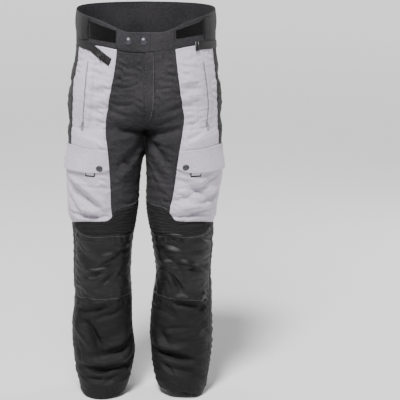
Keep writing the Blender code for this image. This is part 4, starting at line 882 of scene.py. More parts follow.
def along_path(side, path, pitch, out):
    """Evenly spaced points on a path of turns and heights, with its direction and the way out."""
    rows = np.array(path, float)
    girth = around(side, rows[:, 1])
    steps = np.hypot(np.diff(rows[:, 0]) * 0.5 * (girth[1:] + girth[:-1]),
                     np.diff(rows[:, 1]))
    length = np.concatenate([[0.0], np.cumsum(steps)])
    marks = np.arange(pitch / 2, length[-1], pitch)
    turn, height = (np.interp(marks, length, rows[:, k]) for k in (0, 1))
    point = cloth(side, turn, height, out)
    along = np.gradient(point, axis=0)
    along /= np.linalg.norm(along, axis=1, keepdims=True)
    normal = read_form(side, turn, height)[1]
    return point, along, normal


def plain_finish(name, colour, roughness, metallic=0.0):
    """One even colour, for hard trim and thread too small for a pattern to show."""
    material = bpy.data.materials.new(name)
    material.use_nodes = True
    shader = material.node_tree.nodes["Principled BSDF"]
    shader.inputs["Base Color"].default_value = linear(colour)
    shader.inputs["Roughness"].default_value = roughness
    shader.inputs["Metallic"].default_value = metallic
    return material


def past_welt(distance):
    """The seam that lies a distance past the welt's."""
    return upright(beside(WELT_EDGE, distance), "front")


# Nylon coil: smooth, with a little shine on each tooth. Twill tape: matt, its ribs drawn at 1.6 mm.
nylon_coil = plain_finish("grey_nylon_coil", "8F8995", 0.4)
zip_twill = woven("grey_polyester_twill_tape", "A79FAD", "8C8592", 0.75, 1.6, 0.5, 0.02)
# Nickel plate, tumbled to a satin: pale grey metal with a broad soft glint
nickel_plate = plain_finish("satin_nickel_plate", "B9B6BC", 0.5, metallic=1.0)
WELT_ENDS = (level(WELT_LOW), level(WELT_HIGH))
for side in (RIGHT, LEFT):
    tag = TAG[side]
    cut = [patch(side, WELT_INNER, past_welt(WELT_PAST), *WELT_ENDS, cell=TRIM_CELL)]
    welt = cloth_piece("pocket_welt_strip_" + tag, cut, grey_polyamide, out=WELT_OUT, thick=WELT_THICK)
    sew(welt, "pocket_welt_" + tag)
    cut = [patch(side, past_welt(LIP_START), past_welt(LIP_END), *WELT_ENDS, cell=TRIM_CELL)]
    lip = cloth_piece("pocket_lip_" + tag, cut, grey_polyamide, out=LIP_OUT, thick=LIP_THICK)
    sew(lip, None)
    cut = [patch(side, past_welt(ZIP_GAP - TAPE_UNDER), past_welt(ZIP_GAP + ZIP_WIDTH), *WELT_ENDS,
                 cell=TAPE_CELL)]
    tape = cloth_piece("zip_tape_" + tag, cut, zip_twill, out=TAPE_OUT, thick=TAPE_THICK, roll=0.3)
    sew(tape, "pocket_zip_" + tag)
    for row, shift in (("inner", -TOOTH_SHIFT), ("outer", TOOTH_SHIFT)):
        middle = past_welt(ZIP_GAP + ZIP_WIDTH / 2 + shift)
        heights = np.linspace(WELT_LOW + TEETH_ENDS, WELT_HIGH - TEETH_ENDS, 60)
        path = np.stack([middle(side, heights), heights], axis=1)
        point, along, out = along_path(side, path, TOOTH_PITCH, TEETH_OUT)
        grains(f"zip_teeth_{row}_{tag}", (point, np.cross(out, along), out), TOOTH_SIZE, nylon_coil)
    for part in ("zip_slider_", "zip_pull_"):
        holder = bpy.data.objects[part + tag].material_slots[0]
        holder.link = "OBJECT"
        holder.material = nickel_plate


# Side panels
# Black knitted air mesh behind the grey panels, from the waistband to the pocket flap.
# The knit has small open cells in staggered rows, drawn as its bump and as painted shade in its pits.
KNIT_CELL = 2.4             # millimetres between cells, coarser than real so that they show
KNIT_SLANT = 55             # degrees that the two sets of loops cross at, to each side
KNIT_RELIEF = 0.5 * MM


def knitted_mesh(name, colour, painted_pit_shade, cell):
    """Knitted mesh: staggered pits, a cell apart in millimetres, darkened with painted shade."""
    material = bpy.data.materials.new(name)
    material.use_nodes = True
    tree = material.node_tree
    shader = tree.nodes["Principled BSDF"]
    place = node(tree, "ShaderNodeUVMap", uv_map="cloth")["UV"]
    scale = BAND_SCALE / (cell * MM)
    loops = []
    for slant in (KNIT_SLANT, -KNIT_SLANT):
        way = node(tree, "ShaderNodeMapping", {"Vector": place, "Rotation": (0, 0, math.radians(slant))})
        loops.append(node(tree, "ShaderNodeTexWave", {"Vector": way["Vector"], "Scale": scale})["Fac"])
    cells = node(tree, "ShaderNodeMath", {0: loops[0], 1: loops[1]}, operation="MAXIMUM")["Value"]
    ramp = tree.nodes.new("ShaderNodeValToRGB")
    ramp.color_ramp.elements[0].color = linear(painted_pit_shade)
    ramp.color_ramp.elements[1].color = linear(colour)
    tree.links.new(cells, ramp.inputs["Fac"])
    tree.links.new(ramp.outputs["Color"], shader.inputs["Base Color"])
    lifted = node(tree, "ShaderNodeBump", {"Height": cells, "Strength": 0.7,
                                           "Distance": KNIT_RELIEF})["Normal"]
    tree.links.new(lifted, shader.inputs["Normal"])
    shader.inputs["Roughness"].default_value = 0.82
    shader.inputs["IOR"].default_value = 1.5
    shader.inputs["Specular IOR Level"].default_value = 0.2
    shader.inputs["Sheen Weight"].default_value = 0.04
    return material


# The second colour is painted shade in the knit's pits.
air_mesh = knitted_mesh("black_polyester_air_mesh", "2E2C2D", "0E0D0E", KNIT_CELL)
MESH_SEAT = upright([SeamRow(668, 50, 50), SeamRow(1030, 46, 46)], "side")
for side in (RIGHT, LEFT):
    cut = [patch(side, GREY_MESH, MESH_SEAT, POCKET_SEAM, WAIST_SEAM)]
    panel = cloth_piece("side_mesh_panel_" + TAG[side], cut, air_mesh, relief=puckered)
    sew(panel, "side_mesh_" + TAG[side])


# Seat and back of the thighs
# The same black polyamide covers the seat, in a panel for each side that meets its fellow at the
# centre back. Level seams join it to the back of each thigh and to the shirred panel above.
RIB_BACK_LOW = level(925.0)
for side in (RIGHT, LEFT):
    tag = TAG[side]
    cut = [patch(side, MESH_SEAT, BACK_EDGE, POCKET_SEAM, RIB_BACK_LOW, open_ends=(False, True))]
    panel = cloth_piece("seat_panel_" + tag, cut, black_polyamide, relief=puckered)
    sew(panel, "seat_" + tag)
    cut = [patch(side, POCKET_BACK, BACK_EDGE, THIGH, POCKET_SEAM)]
    panel = cloth_piece("back_thigh_panel_" + tag, cut, black_polyamide, relief=puckered)
    sew(panel, "back_thigh_" + tag)


# Stretch panels
# Cloth shirred on elastic threads lies across the back below the yoke and above each knee.
# It springs into level ribs about 4.5 mm apart, a little uneven where the elastic pulls.
RIB_DEPTH = 2.2
RIB_CRISP = 0.7             # below 1 the ribs are round and the valleys between them sharp
RIB_UNEVEN, UNEVEN_RIB_WAVE = 0.5, 24.0
RIB_WOBBLE, WOBBLE_WAVE = 0.2, 55.0             # shares of a rib that its line strays by
TUCK_DEPTH, TUCK_WAVE = 0.25, 6.5               # small tucks across each rib
TUCK_STRAY, TUCK_STRAY_WAVE = 3, 25.0


def shirred(ribs):
    """Level ribs between a panel's lower and upper seam."""
    def relief(u, v, aside, above):
        share = (v - v[:1]) / (v[-1:] - v[:1])
        wobble = RIB_WOBBLE * ripple(u, v, WOBBLE_WAVE, seed=8) / ribs
        wave = np.abs(np.sin(math.pi * ribs * (share + wobble)))
        stray = TUCK_STRAY * ripple(u, v, TUCK_STRAY_WAVE, seed=9)
        tucks = TUCK_DEPTH * np.sin(2 * math.pi * u / TUCK_WAVE + stray)
        uneven = RIB_UNEVEN * ripple(u, v, UNEVEN_RIB_WAVE, seed=7)
        return RIB_DEPTH * (wave ** RIB_CRISP - 0.5) + tucks * wave + uneven
    return relief


# The same yarn, woven closer and matt: its ribs show by their shadows
shirred_stretch = woven("black_shirred_stretch_cloth", "242324", "141314", 0.75, 1.2, 0.4, 0.03)
YOKE_LOW = level(968.0)
BACK_RIBS = 9
KNEE_RIBS = 8
RIB_CELL = 1.1
SHIRRED_THICK = 2.2
SHIRRED_FULLNESS = 1.3      # length of cloth for each length of shirred panel


def dense_rows(side, first, last, low, high, open_ends=(False, False)):
    """A patch with rows close enough for ribs and columns as on the panels."""
    fine = patch(side, first, last, low, high, cell=RIB_CELL, open_ends=open_ends)
    step = max(int(PANEL_CELL / RIB_CELL), 1)
    keep = sorted(set(range(0, fine[1].shape[1], step)) | {fine[1].shape[1] - 1})
    return side, fine[1][:, keep], fine[2][:, keep]


def across_back(low, high, maker):
    """A piece from the right side over the centre back to the left, as two halves."""
    right = maker(RIGHT, MESH_SEAT, BACK_EDGE, low, high, open_ends=(False, True))
    left = maker(LEFT, BACK_EDGE, MESH_SEAT, low, high, open_ends=(True, False))
    return [right, left]


cut = across_back(RIB_BACK_LOW, YOKE_LOW, dense_rows)
ribbed_back = cloth_piece("shirred_back", cut, shirred_stretch, relief=shirred(BACK_RIBS), centre=1,
                          thick=SHIRRED_THICK)
sew(ribbed_back, "stretch_back", gathered=SHIRRED_FULLNESS)

KNEE_SEAM = upright([SeamRow(0, -34, -34), SeamRow(280, -36, -36), SeamRow(440, -50, -50),
                     SeamRow(510, -62, -62)], "side")
RIB_LOW = level([LineRow(0, 470), LineRow(0.14, 472), LineRow(0.2, 477), LineRow(0.3, 474),
                 LineRow(0.36, 478), LineRow(0.42, 488)])
for side in (RIGHT, LEFT):
    tag = TAG[side]
    cut = [dense_rows(side, FRONT_EDGE, KNEE_SEAM, RIB_LOW, THIGH)]
    ribbed_knee = cloth_piece("shirred_knee_" + tag, cut, shirred_stretch, relief=shirred(KNEE_RIBS),
                              thick=SHIRRED_THICK)
    sew(ribbed_knee, "knee_stretch_" + tag,
        gathered=SHIRRED_FULLNESS)


# Back yoke
# A plain strip of the black polyamide joins the shirred panel to the waistband. It is cut in one
# piece across the back and is not shirred, so it lies flatter than the panel below it.
yoke_strip = cloth_piece("yoke_strip", across_back(YOKE_LOW, WAIST_SEAM, patch), black_polyamide,
                         relief=puckered, centre=1)
sew(yoke_strip, "yoke")


# Thigh pockets
# Grey bellows pockets sit round the outer thighs under wide flaps. Each flap is two layers of
# the cloth turned and edge-stitched, so it is stiffer than the pocket and rolls at its edge.
FLAP_GAP = 1.2
FLAP_THICK = 2.0
FLAP_CELL = 2.2
FLAP_TOP = level([LineRow(0.2, 704), LineRow(0.3, 708), LineRow(0.4, 712), LineRow(0.5, 706),
                  LineRow(0.64, 690)])
FLAP_LOW = level([LineRow(0.2, 672), LineRow(0.212, 664), LineRow(0.23, 656), LineRow(0.255, 650),
                  LineRow(0.3, 647), LineRow(0.36, 647), LineRow(0.5, 642), LineRow(0.6, 631),
                  LineRow(0.62, 634), LineRow(0.64, 646)])
FLAP_BACK = edge_at(0.63)
FLAP_SNAPS = {RIGHT: (LineRow(0.268, 659), LineRow(0.53, 657)),
              LEFT: (LineRow(0.255, 662), LineRow(0.53, 657))}
FLARE, FLARE_REACH = 4.0, 14.0      # how far its free edge stands off, and over what height
PRESSED, PRESSED_REACH = 0.8, 22.0  # how much a stud takes off that, and how far around it


def flap_flare(side, turn, height):
    """The flap stands off the pocket towards its free edge, but not where the studs hold it."""
    rise = FLARE * np.exp(-((height - FLAP_LOW(side, turn)) / FLARE_REACH))
    for stud in FLAP_SNAPS[side]:
        away = np.hypot((turn - stud.turn) * around(side, height), height - stud.height)
        rise = rise * (1 - PRESSED * np.exp(-(away / PRESSED_REACH) ** 2))
    return rise


# A plain tab hangs under each flap: a pale face on a black tab, whose dark rim at the sides and below is
# painted shadow
TAB_TURNS = {RIGHT: (0.283, 0.320), LEFT: (0.272, 0.312)}
TAB_LOW, TAB_HIGH = 636.0, 656.0
TAB_OUT, TAB_THICK = 1.4, 1.2
TAB_CELL = 1.6
FACE_INSET, FACE_INSET_LOW = 0.004, 4.0     # width of the black tab's rim of painted shadow at each side, in turns, and below
FACE_OUT, FACE_THICK = 2.0, 0.8
# Webbing: close ribs with a dull shine, drawn at 1.6 mm; black, and undyed
black_webbing = woven("black_polyester_webbing", "242324", "111011", 0.7, 1.6, 0.6, 0.02, 0.25)
pale_webbing = woven("pale_polyester_webbing", "D9D6DC", "C3BFC7", 0.7, 1.6, 0.5, 0.02)
for side in (RIGHT, LEFT):
    tag = TAG[side]
    cut = [patch(side, INNER_GREY, POCKET_BACK, THIGH, POCKET_SEAM)]
    pocket = cloth_piece("thigh_pocket_" + tag, cut, grey_polyamide, relief=puckered)
    sew(pocket, "cargo_pocket_" + tag)
    cut = [patch(side, INNER_GREY, FLAP_BACK, FLAP_LOW, FLAP_TOP, cell=FLAP_CELL, gap=0.0)]
    flap = cloth_piece("thigh_flap_" + tag, cut, grey_polyamide, out=FLAP_GAP + FLAP_THICK,
                       thick=FLAP_THICK, lift=flap_flare)
    sew(flap, "cargo_flap_" + tag)
    start, end = TAB_TURNS[side]
    cut = [patch(side, edge_at(start), edge_at(end), level(TAB_LOW), level(TAB_HIGH), cell=TAB_CELL,
                 gap=0.0)]
    # The black tab shows only as a rim round the pale face: painted shadow.
    tab = cloth_piece("flap_tab_" + tag, cut, black_webbing, out=TAB_OUT, thick=TAB_THICK, roll=0.3)
    sew(tab, None)
    cut = [patch(side, edge_at(start + FACE_INSET), edge_at(end - FACE_INSET),
                 level(TAB_LOW + FACE_INSET_LOW), level(TAB_HIGH), cell=TAB_CELL, gap=0.0)]
    face = cloth_piece("flap_tab_face_" + tag, cut, pale_webbing, out=FACE_OUT, thick=FACE_THICK,
                       roll=0.2)
    sew(face, None)


# Knees, shins, outer legs and calves
# The knee has a coated, slightly shiny face and the shin is the same close weave, uncoated; the
# outer leg and the calf are the plain black cloth. The lower legs hang loose and crease the most.
coated_polyamide = woven("black_coated_polyamide", "0C0B0B", "040404", 0.5, 1.6, 0.3, 0.0, 0.34)
close_polyamide = woven("black_close_woven_polyamide", "100F0F", "060606", 0.64, 1.6, 0.45, 0.0, 0.27)
CALF_SEAM = upright([SeamRow(0, 10, 10), SeamRow(150, 16, 16), SeamRow(280, 22, 22),
                     SeamRow(480, 46, 46), SeamRow(668, 50, 50)], "side")
KNEE_LOW = level([LineRow(0, 290), LineRow(0.2, 284), LineRow(0.45, 280)])
HEM = level({
    RIGHT: [LineRow(0, 12), LineRow(0.12, 8), LineRow(0.33, 2), LineRow(0.5, 4), LineRow(0.75, 10),
            LineRow(1, 12)],
    LEFT: [LineRow(0, 22), LineRow(0.15, 19), LineRow(0.27, 20), LineRow(0.38, 2), LineRow(0.5, 3),
           LineRow(0.75, 9), LineRow(1, 22)],
})
REFLECTOR_LOW, REFLECTOR_HIGH = 248.0, 326.0
PRESSED_MARGIN, PRESSED_FADE = 16, 12       # the cloth lies flat this far beyond the strip


def held_flat(u, v, aside, above):
    """Gathers of the outer leg, but none at the height of the pressed-on strip."""
    held = soft_step((v - REFLECTOR_LOW + PRESSED_MARGIN) / PRESSED_FADE)
    held = held * soft_step((REFLECTOR_HIGH + PRESSED_MARGIN - v) / PRESSED_FADE)
    return puckered(u, v, aside, above) * (1 - held)


LowerPanel = namedtuple("LowerPanel", "name first last low high finish relief slot joined_to")
LOWER_PANELS = [
    LowerPanel("knee_", FRONT_EDGE, KNEE_SEAM, KNEE_LOW, RIB_LOW, coated_polyamide, puckered,
               "knee_cloth", "knee_stretch_"),
    LowerPanel("shin_", FRONT_EDGE, KNEE_SEAM, HEM, KNEE_LOW, close_polyamide, puckered,
               "knee_cloth", "knee_"),
    LowerPanel("outer_leg_", KNEE_SEAM, CALF_SEAM, HEM, THIGH, black_polyamide, held_flat,
               "black_cloth", "cargo_pocket_"),
    LowerPanel("calf_", CALF_SEAM, BACK_EDGE, HEM, THIGH, black_polyamide, puckered,
               "black_cloth", "back_thigh_"),
]
for side in (RIGHT, LEFT):
    tag = TAG[side]
    for row in LOWER_PANELS:
        cut = [patch(side, row.first, row.last, row.low, row.high)]
        panel = cloth_piece(row.name + "panel_" + tag, cut, row.finish, relief=row.relief)
        sew(panel, row.name + tag)


# Waistband
# Folded black cloth in sections, higher at the back, closed by a tab with domed snaps.
# A second band shows above and beside the tab, and the band stands a little stiff.
WAIST_TOP = level([LineRow(0, 1014), LineRow(0.095, 1015), LineRow(0.13, 1021), LineRow(0.23, 1042),
                   LineRow(0.385, 1059), LineRow(0.5, 1066), LineRow(0.7, 1073), LineRow(1, 1076)])
TAB_START, TAB_END = 0.140, 0.028
SNAP_TAB_THICK = 2.0
UNDER_START, UNDER_END = 0.085, 0.147
BACK_START = 0.66
LAY_GAP = 0.4               # between layers that lie on each other
TURN_GAP = 0.0001


def across_front(start, end, low, high):
    """A piece from a turn on the right over the centre front to a turn on the left."""
    return [patch(RIGHT, edge_at(start), FRONT_EDGE, low, high, open_ends=(False, True)),
            patch(LEFT, FRONT_EDGE, edge_at(end), low, high, open_ends=(True, False))]


cut = across_front(UNDER_START, UNDER_END, WAIST_SEAM, WAIST_TOP)
under_tab = cloth_piece("waist_under_band", cut, black_polyamide)
sew(under_tab, "waist_under_tab")
cut = across_front(TAB_START, TAB_END, WAIST_SEAM, WAIST_TOP)
snap_tab = cloth_piece("waist_snap_tab", cut, black_polyamide, out=LAY_GAP + SNAP_TAB_THICK,
                       thick=SNAP_TAB_THICK)
sew(snap_tab, "waist_tab")
for side, start in ((RIGHT, TAB_START), (LEFT, UNDER_END)):
    cut = [patch(side, edge_at(start + TURN_GAP), edge_at(BACK_START - TURN_GAP), WAIST_SEAM,
                 WAIST_TOP)]
    band = cloth_piece("waistband_" + TAG[side], cut, black_polyamide)
    sew(band, "waistband_side_" + TAG[side])
BACK_ENDS = edge_at(BACK_START)
cut = [patch(RIGHT, BACK_ENDS, BACK_EDGE, WAIST_SEAM, WAIST_TOP, open_ends=(False, True)),
       patch(LEFT, BACK_EDGE, BACK_ENDS, WAIST_SEAM, WAIST_TOP, open_ends=(True, False))]
back_band = cloth_piece("waistband_rear", cut, black_polyamide, centre=1)
sew(back_band, "waistband_back")


# Hook and loop bands, belt loops and waist adjusters
# A dark loop-pile band for braces is let into each front of the waistband. Webbing loops stand
# off it, and a strap runs through a moulded slide on the right and a ring on the left.

# Loop pile: near black, with a soft light edge where the loops stand up, drawn at 1.1 mm
loop_pile = woven("black_loop_pile", "131213", "080708", 0.95, 1.1, 0.9, 0.1, 0.05)
# Moulded acetal: smooth from the tool, half glossy
moulded_plastic = plain_finish("black_moulded_acetal", "1B1B1C", 0.38)
PILE_THICK = 1.2
PILE_LOW = level({RIGHT: [LineRow(0.14, 986), LineRow(0.32, 997)],
                  LEFT: [LineRow(0.14, 996), LineRow(0.34, 1008)]})
PILE_HIGH = level({RIGHT: [LineRow(0.14, 1016), LineRow(0.32, 1043)],
                   LEFT: [LineRow(0.14, 1016), LineRow(0.34, 1045)]})
PILE_ENDS = {RIGHT: (0.146, 0.298), LEFT: (0.153, 0.308)}
LOOP_TURNS = {RIGHT: (0.330, 0.575), LEFT: (0.342, 0.575)}
LOOP_WIDTH = 28.0
LOOP_CELL = 2.2
LOOP_CLOTH = 1.8
LOOP_INSETS = (14.0, 7.0)           # from the waistband's lower seam and from its upper edge
LOOP_RISE = (0.0, 2.2, 3.4, 3.4, 2.2, 0.0)      # how far it bows out, from its lower to its upper end
STRAP_WIDTH = 20.0
STRAP_THICK = 1.6
STRAP_CELL = 2.0
STRAP_COLUMNS = 61
STRAP_PATHS = {
    RIGHT: [LineRow(0.41, 983), LineRow(0.28, 972), LineRow(0.17, 936)],
    LEFT: [LineRow(0.47, 974), LineRow(0.262, 976)],
}
HARDWARE_OUT = STRAP_GAP + STRAP_THICK + LAY_GAP
Bar = namedtuple("Bar", "left right low high")
SLIDE_PLACE, SLIDE_TILT, SLIDE_THICK = LineRow(0.222, 953.0), 33.0, 2.2
SLIDE_BARS = [Bar(-7.0, -4.4, -13.5, 13.5), Bar(-1.4, 1.4, -13.5, 13.5), Bar(4.4, 7.0, -13.5, 13.5),
              Bar(-7.0, 7.0, -13.5, -10.8), Bar(-7.0, 7.0, 10.8, 13.5)]
RING_PLACE, RING_TILT, RING_THICK = LineRow(0.262, 976.0), 0.0, 2.4
RING_BARS = [Bar(-5.5, -2.7, -13.0, 13.0), Bar(2.7, 5.5, -13.0, 13.0), Bar(-5.5, 5.5, -13.0, -10.2),
             Bar(-5.5, 5.5, 10.2, 13.0)]
BAR_ROUND = 0.6             # radius of a bar's edges


def strap_places(side, path, width):
    """Places of a strap: rows across it and columns along a path of turns and heights."""
    share = np.linspace(0, len(path) - 1, STRAP_COLUMNS)
    turn = np.interp(share, range(len(path)), [row.turn for row in path])
    height = np.interp(share, range(len(path)), [row.height for row in path])
    girth = around(side, height)
    run = np.array([(path[-1].turn - path[0].turn) * girth,
                    np.full(len(share), path[-1].height - path[0].height)])
    run /= np.hypot(*run)
    across = (spaced(width, STRAP_CELL)[:, None] - 0.5) * width
    return side, turn - run[1] * across / girth, height + run[0] * across


def local_frame(side, turn, height, out, tilt=0.0):
    """Place of a small hard piece: x across, y up and z out of the cloth, tilted by degrees."""
    normal = Vector(read_form(side, turn, height)[1])
    up = (Vector((0, 0, 1)) - normal * normal.z).normalized()
    frame_here = Matrix((up.cross(normal), up, normal)).transposed().to_4x4()
    frame_here.translation = Vector(in_metres(cloth(side, turn, height, out)))
    return frame_here @ Matrix.Rotation(math.radians(tilt), 4, "Z")


def rounded_bars(name, place, bars, thick, finish, replaced):
    """A moulded frame of flat bars with rounded edges."""
    work = bmesh.new()
    for bar in bars:
        made = bmesh.ops.create_cube(work, size=1.0)["verts"]
        size = (bar.right - bar.left, bar.high - bar.low, thick)
        middle = ((bar.left + bar.right) / 2, (bar.low + bar.high) / 2, thick / 2)
        bmesh.ops.scale(work, vec=size, verts=made)
        bmesh.ops.translate(work, vec=middle, verts=made)
    bmesh.ops.bevel(work, geom=work.edges[:], offset=BAR_ROUND, segments=3, affect="EDGES")
    bmesh.ops.scale(work, vec=(MM, MM, MM), verts=work.verts)
    mesh = bpy.data.meshes.new(name)
    work.to_mesh(mesh)
    work.free()
    mesh.materials.append(finish)
    mesh.shade_smooth()
    piece = bpy.data.objects.new(name, mesh)
    piece.matrix_world = place
    bpy.context.scene.collection.objects.link(piece)
    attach(piece, "trousers")
    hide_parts(replaced)


for side in (RIGHT, LEFT):
    tag = TAG[side]
    start, end = PILE_ENDS[side]
    cut = [patch(side, edge_at(start), edge_at(end), PILE_LOW, PILE_HIGH, gap=0.0)]
    pile = cloth_piece("loop_pile_band_" + tag, cut, loop_pile, out=LAY_GAP + PILE_THICK,
                       thick=PILE_THICK, roll=0.5)
    sew(pile, "hook_loop_" + tag)
    for where, turn in zip(("front", "side"), LOOP_TURNS[side]):
        low = float(WAIST_SEAM(side, turn)) + LOOP_INSETS[0]
        high = float(WAIST_TOP(side, turn)) - LOOP_INSETS[1]
        half = LOOP_WIDTH / 2 / float(around(side, low))
        cut = patch(side, edge_at(turn - half), edge_at(turn + half), level(low), level(high),
                    cell=LOOP_CELL, gap=0.0)
        rise = np.interp((cut[2] - low) / (high - low), np.linspace(0, 1, len(LOOP_RISE)), LOOP_RISE)
        loop = cloth_piece(f"webbing_loop_{where}_{tag}", [cut], black_webbing,
                           out=LAY_GAP + LOOP_CLOTH, thick=LOOP_CLOTH, roll=0.5, lift=rise)
        sew(loop, f"belt_loop_{where}_{tag}")
    cut = [strap_places(side, STRAP_PATHS[side], STRAP_WIDTH)]
    strap = cloth_piece("adjuster_webbing_" + tag, cut, black_webbing, out=STRAP_GAP + STRAP_THICK,
                        thick=STRAP_THICK, roll=0.4)
    sew(strap, "adjuster_strap_" + tag)
rounded_bars("moulded_slide", local_frame(RIGHT, *SLIDE_PLACE, HARDWARE_OUT, SLIDE_TILT), SLIDE_BARS,
             SLIDE_THICK, moulded_plastic, "strap_slide_r")
rounded_bars("moulded_ring", local_frame(LEFT, *RING_PLACE, HARDWARE_OUT, RING_TILT), RING_BARS,
             RING_THICK, moulded_plastic, "strap_ring_l")


# Fly
# A facing of the black cloth covers the front zip, on the wearer's left. It is folded at the
# centre front and stitched down along a seam that bends like a J.
FLY_EDGE = edge_at(0.002)
FLY_SEAM = upright([SeamRow(772, 6, 6), SeamRow(790, 16, 16), SeamRow(815, 22, 22),
                    SeamRow(850, 24, 24), SeamRow(960, 24, 24)], "front")
FLY_LOW = 776.0
FLY_OUT, FLY_THICK = STRAP_GAP + 1.0, 1.7
FLY_CELL = 2.2
cut = [patch(LEFT, FLY_EDGE, FLY_SEAM, level(FLY_LOW), WAIST_SEAM, cell=FLY_CELL)]
fly = cloth_piece("fly_facing", cut, black_polyamide, out=FLY_OUT, thick=FLY_THICK)
sew(fly, "fly_shield")


# Snaps
# Press studs, stamped from steel sheet: a domed cap on a flat collar. Two close the waist tab and
# two each flap, riveted through the cloth.
SnapRow = namedtuple("SnapRow", "radius rise")
SNAP_PROFILE = [SnapRow(8.9, 0.0), SnapRow(9.0, 0.3), SnapRow(8.8, 0.6), SnapRow(8.2, 0.75),
                SnapRow(7.9, 0.9), SnapRow(7.8, 1.3), SnapRow(7.4, 1.7), SnapRow(6.8, 1.8),
                SnapRow(6.2, 1.75), SnapRow(5.8, 1.9), SnapRow(5.2, 2.3), SnapRow(4.2, 2.75),
                SnapRow(3.0, 3.0), SnapRow(1.6, 3.15), SnapRow(0.4, 3.2)]
SNAP_STEPS = 40
SNAP_SEAT = 0.3             # the collar stands this far off the cloth
WAIST_SNAPS = {"waist_snap_outer": LineRow(0.083, 991), "waist_snap_inner": LineRow(0.006, 991)}
# Steel with a dark gunmetal plate: grey, worn smooth, so that the domes catch the light
plated_steel = plain_finish("gunmetal_plated_steel", "55555A", 0.42, metallic=1.0)


def snap(replaced, side, turn, height, out):
    """One press stud, turned about its axis."""
    place = np.array(local_frame(side, turn, height, out))
    angle = 2 * math.pi * np.arange(SNAP_STEPS) / SNAP_STEPS
    rings = [np.stack([row.radius * np.cos(angle), row.radius * np.sin(angle),
                       np.full(SNAP_STEPS, row.rise)], axis=1) for row in SNAP_PROFILE]
    verts = np.concatenate(rings) * MM
    verts = verts @ place[:3, :3].T + place[:3, 3]
    faces = []
    for k in range(len(rings) - 1):
        for i in range(SNAP_STEPS):
            after = (i + 1) % SNAP_STEPS
            faces.append((k * SNAP_STEPS + i, k * SNAP_STEPS + after,
                          (k + 1) * SNAP_STEPS + after, (k + 1) * SNAP_STEPS + i))
    faces.append(tuple(range(SNAP_STEPS - 1, -1, -1)))
    faces.append(tuple(range((len(rings) - 1) * SNAP_STEPS, len(rings) * SNAP_STEPS)))
    piece = add_piece(replaced.replace("snap", "press_stud"), verts, faces, None, plated_steel)
    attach(piece, "trousers")
    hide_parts(replaced)


for name, row in WAIST_SNAPS.items():
    snap(name, RIGHT, row.turn, row.height, LAY_GAP + SNAP_TAB_THICK + SNAP_SEAT)
for side in (RIGHT, LEFT):
    for where, row in zip(("front", "side"), FLAP_SNAPS[side]):
        snap(f"flap_snap_{where}_{TAG[side]}", side, row.turn, row.height,
             FLAP_GAP + FLAP_THICK + SNAP_SEAT)


# Reflective strips
# One plain strip of reflective film is pressed on each outer shin with heat: pale grey, with the
# fine glint of the glass beads in it.
REFLECTOR_OUT, REFLECTOR_THICK, REFLECTOR_CELL = LAY_GAP + 0.9, 0.8, 2.0
reflective_film = plain_finish("silver_reflective_film", "C9CBCD", 0.32, metallic=0.35)
REFLECTOR_FRONT = upright([SeamRow(240, -10, -10), SeamRow(340, -8, -8)], "side")
REFLECTOR_BACK = upright([SeamRow(240, 8, 8), SeamRow(340, 10, 10)], "side")
for side in (RIGHT, LEFT):
    cut = [patch(side, REFLECTOR_FRONT, REFLECTOR_BACK, level(REFLECTOR_LOW), level(REFLECTOR_HIGH),
                 cell=REFLECTOR_CELL)]
    strip = cloth_piece("reflective_strip_" + TAG[side], cut, reflective_film, out=REFLECTOR_OUT,
                        thick=REFLECTOR_THICK, roll=0.3)
    sew(strip, "reflective_" + TAG[side])


# Top stitching
# Lock stitches hold every seam open along its edges, 4 mm apart: black on the black cloth, grey on
# the grey cloth, and pale thread on the knees and the inner thighs, where they show from afar.
STITCH_PITCH = 4.2
STITCH_SIZE = (3.3, 0.9, 0.45)      # along the seam, across it and out of the cloth
STITCH_OUT = 0.15
EDGE_STITCH = 4.5           # distances of the rows from the seam
SECOND_STITCH = 9.0
PATH_MARKS = 90
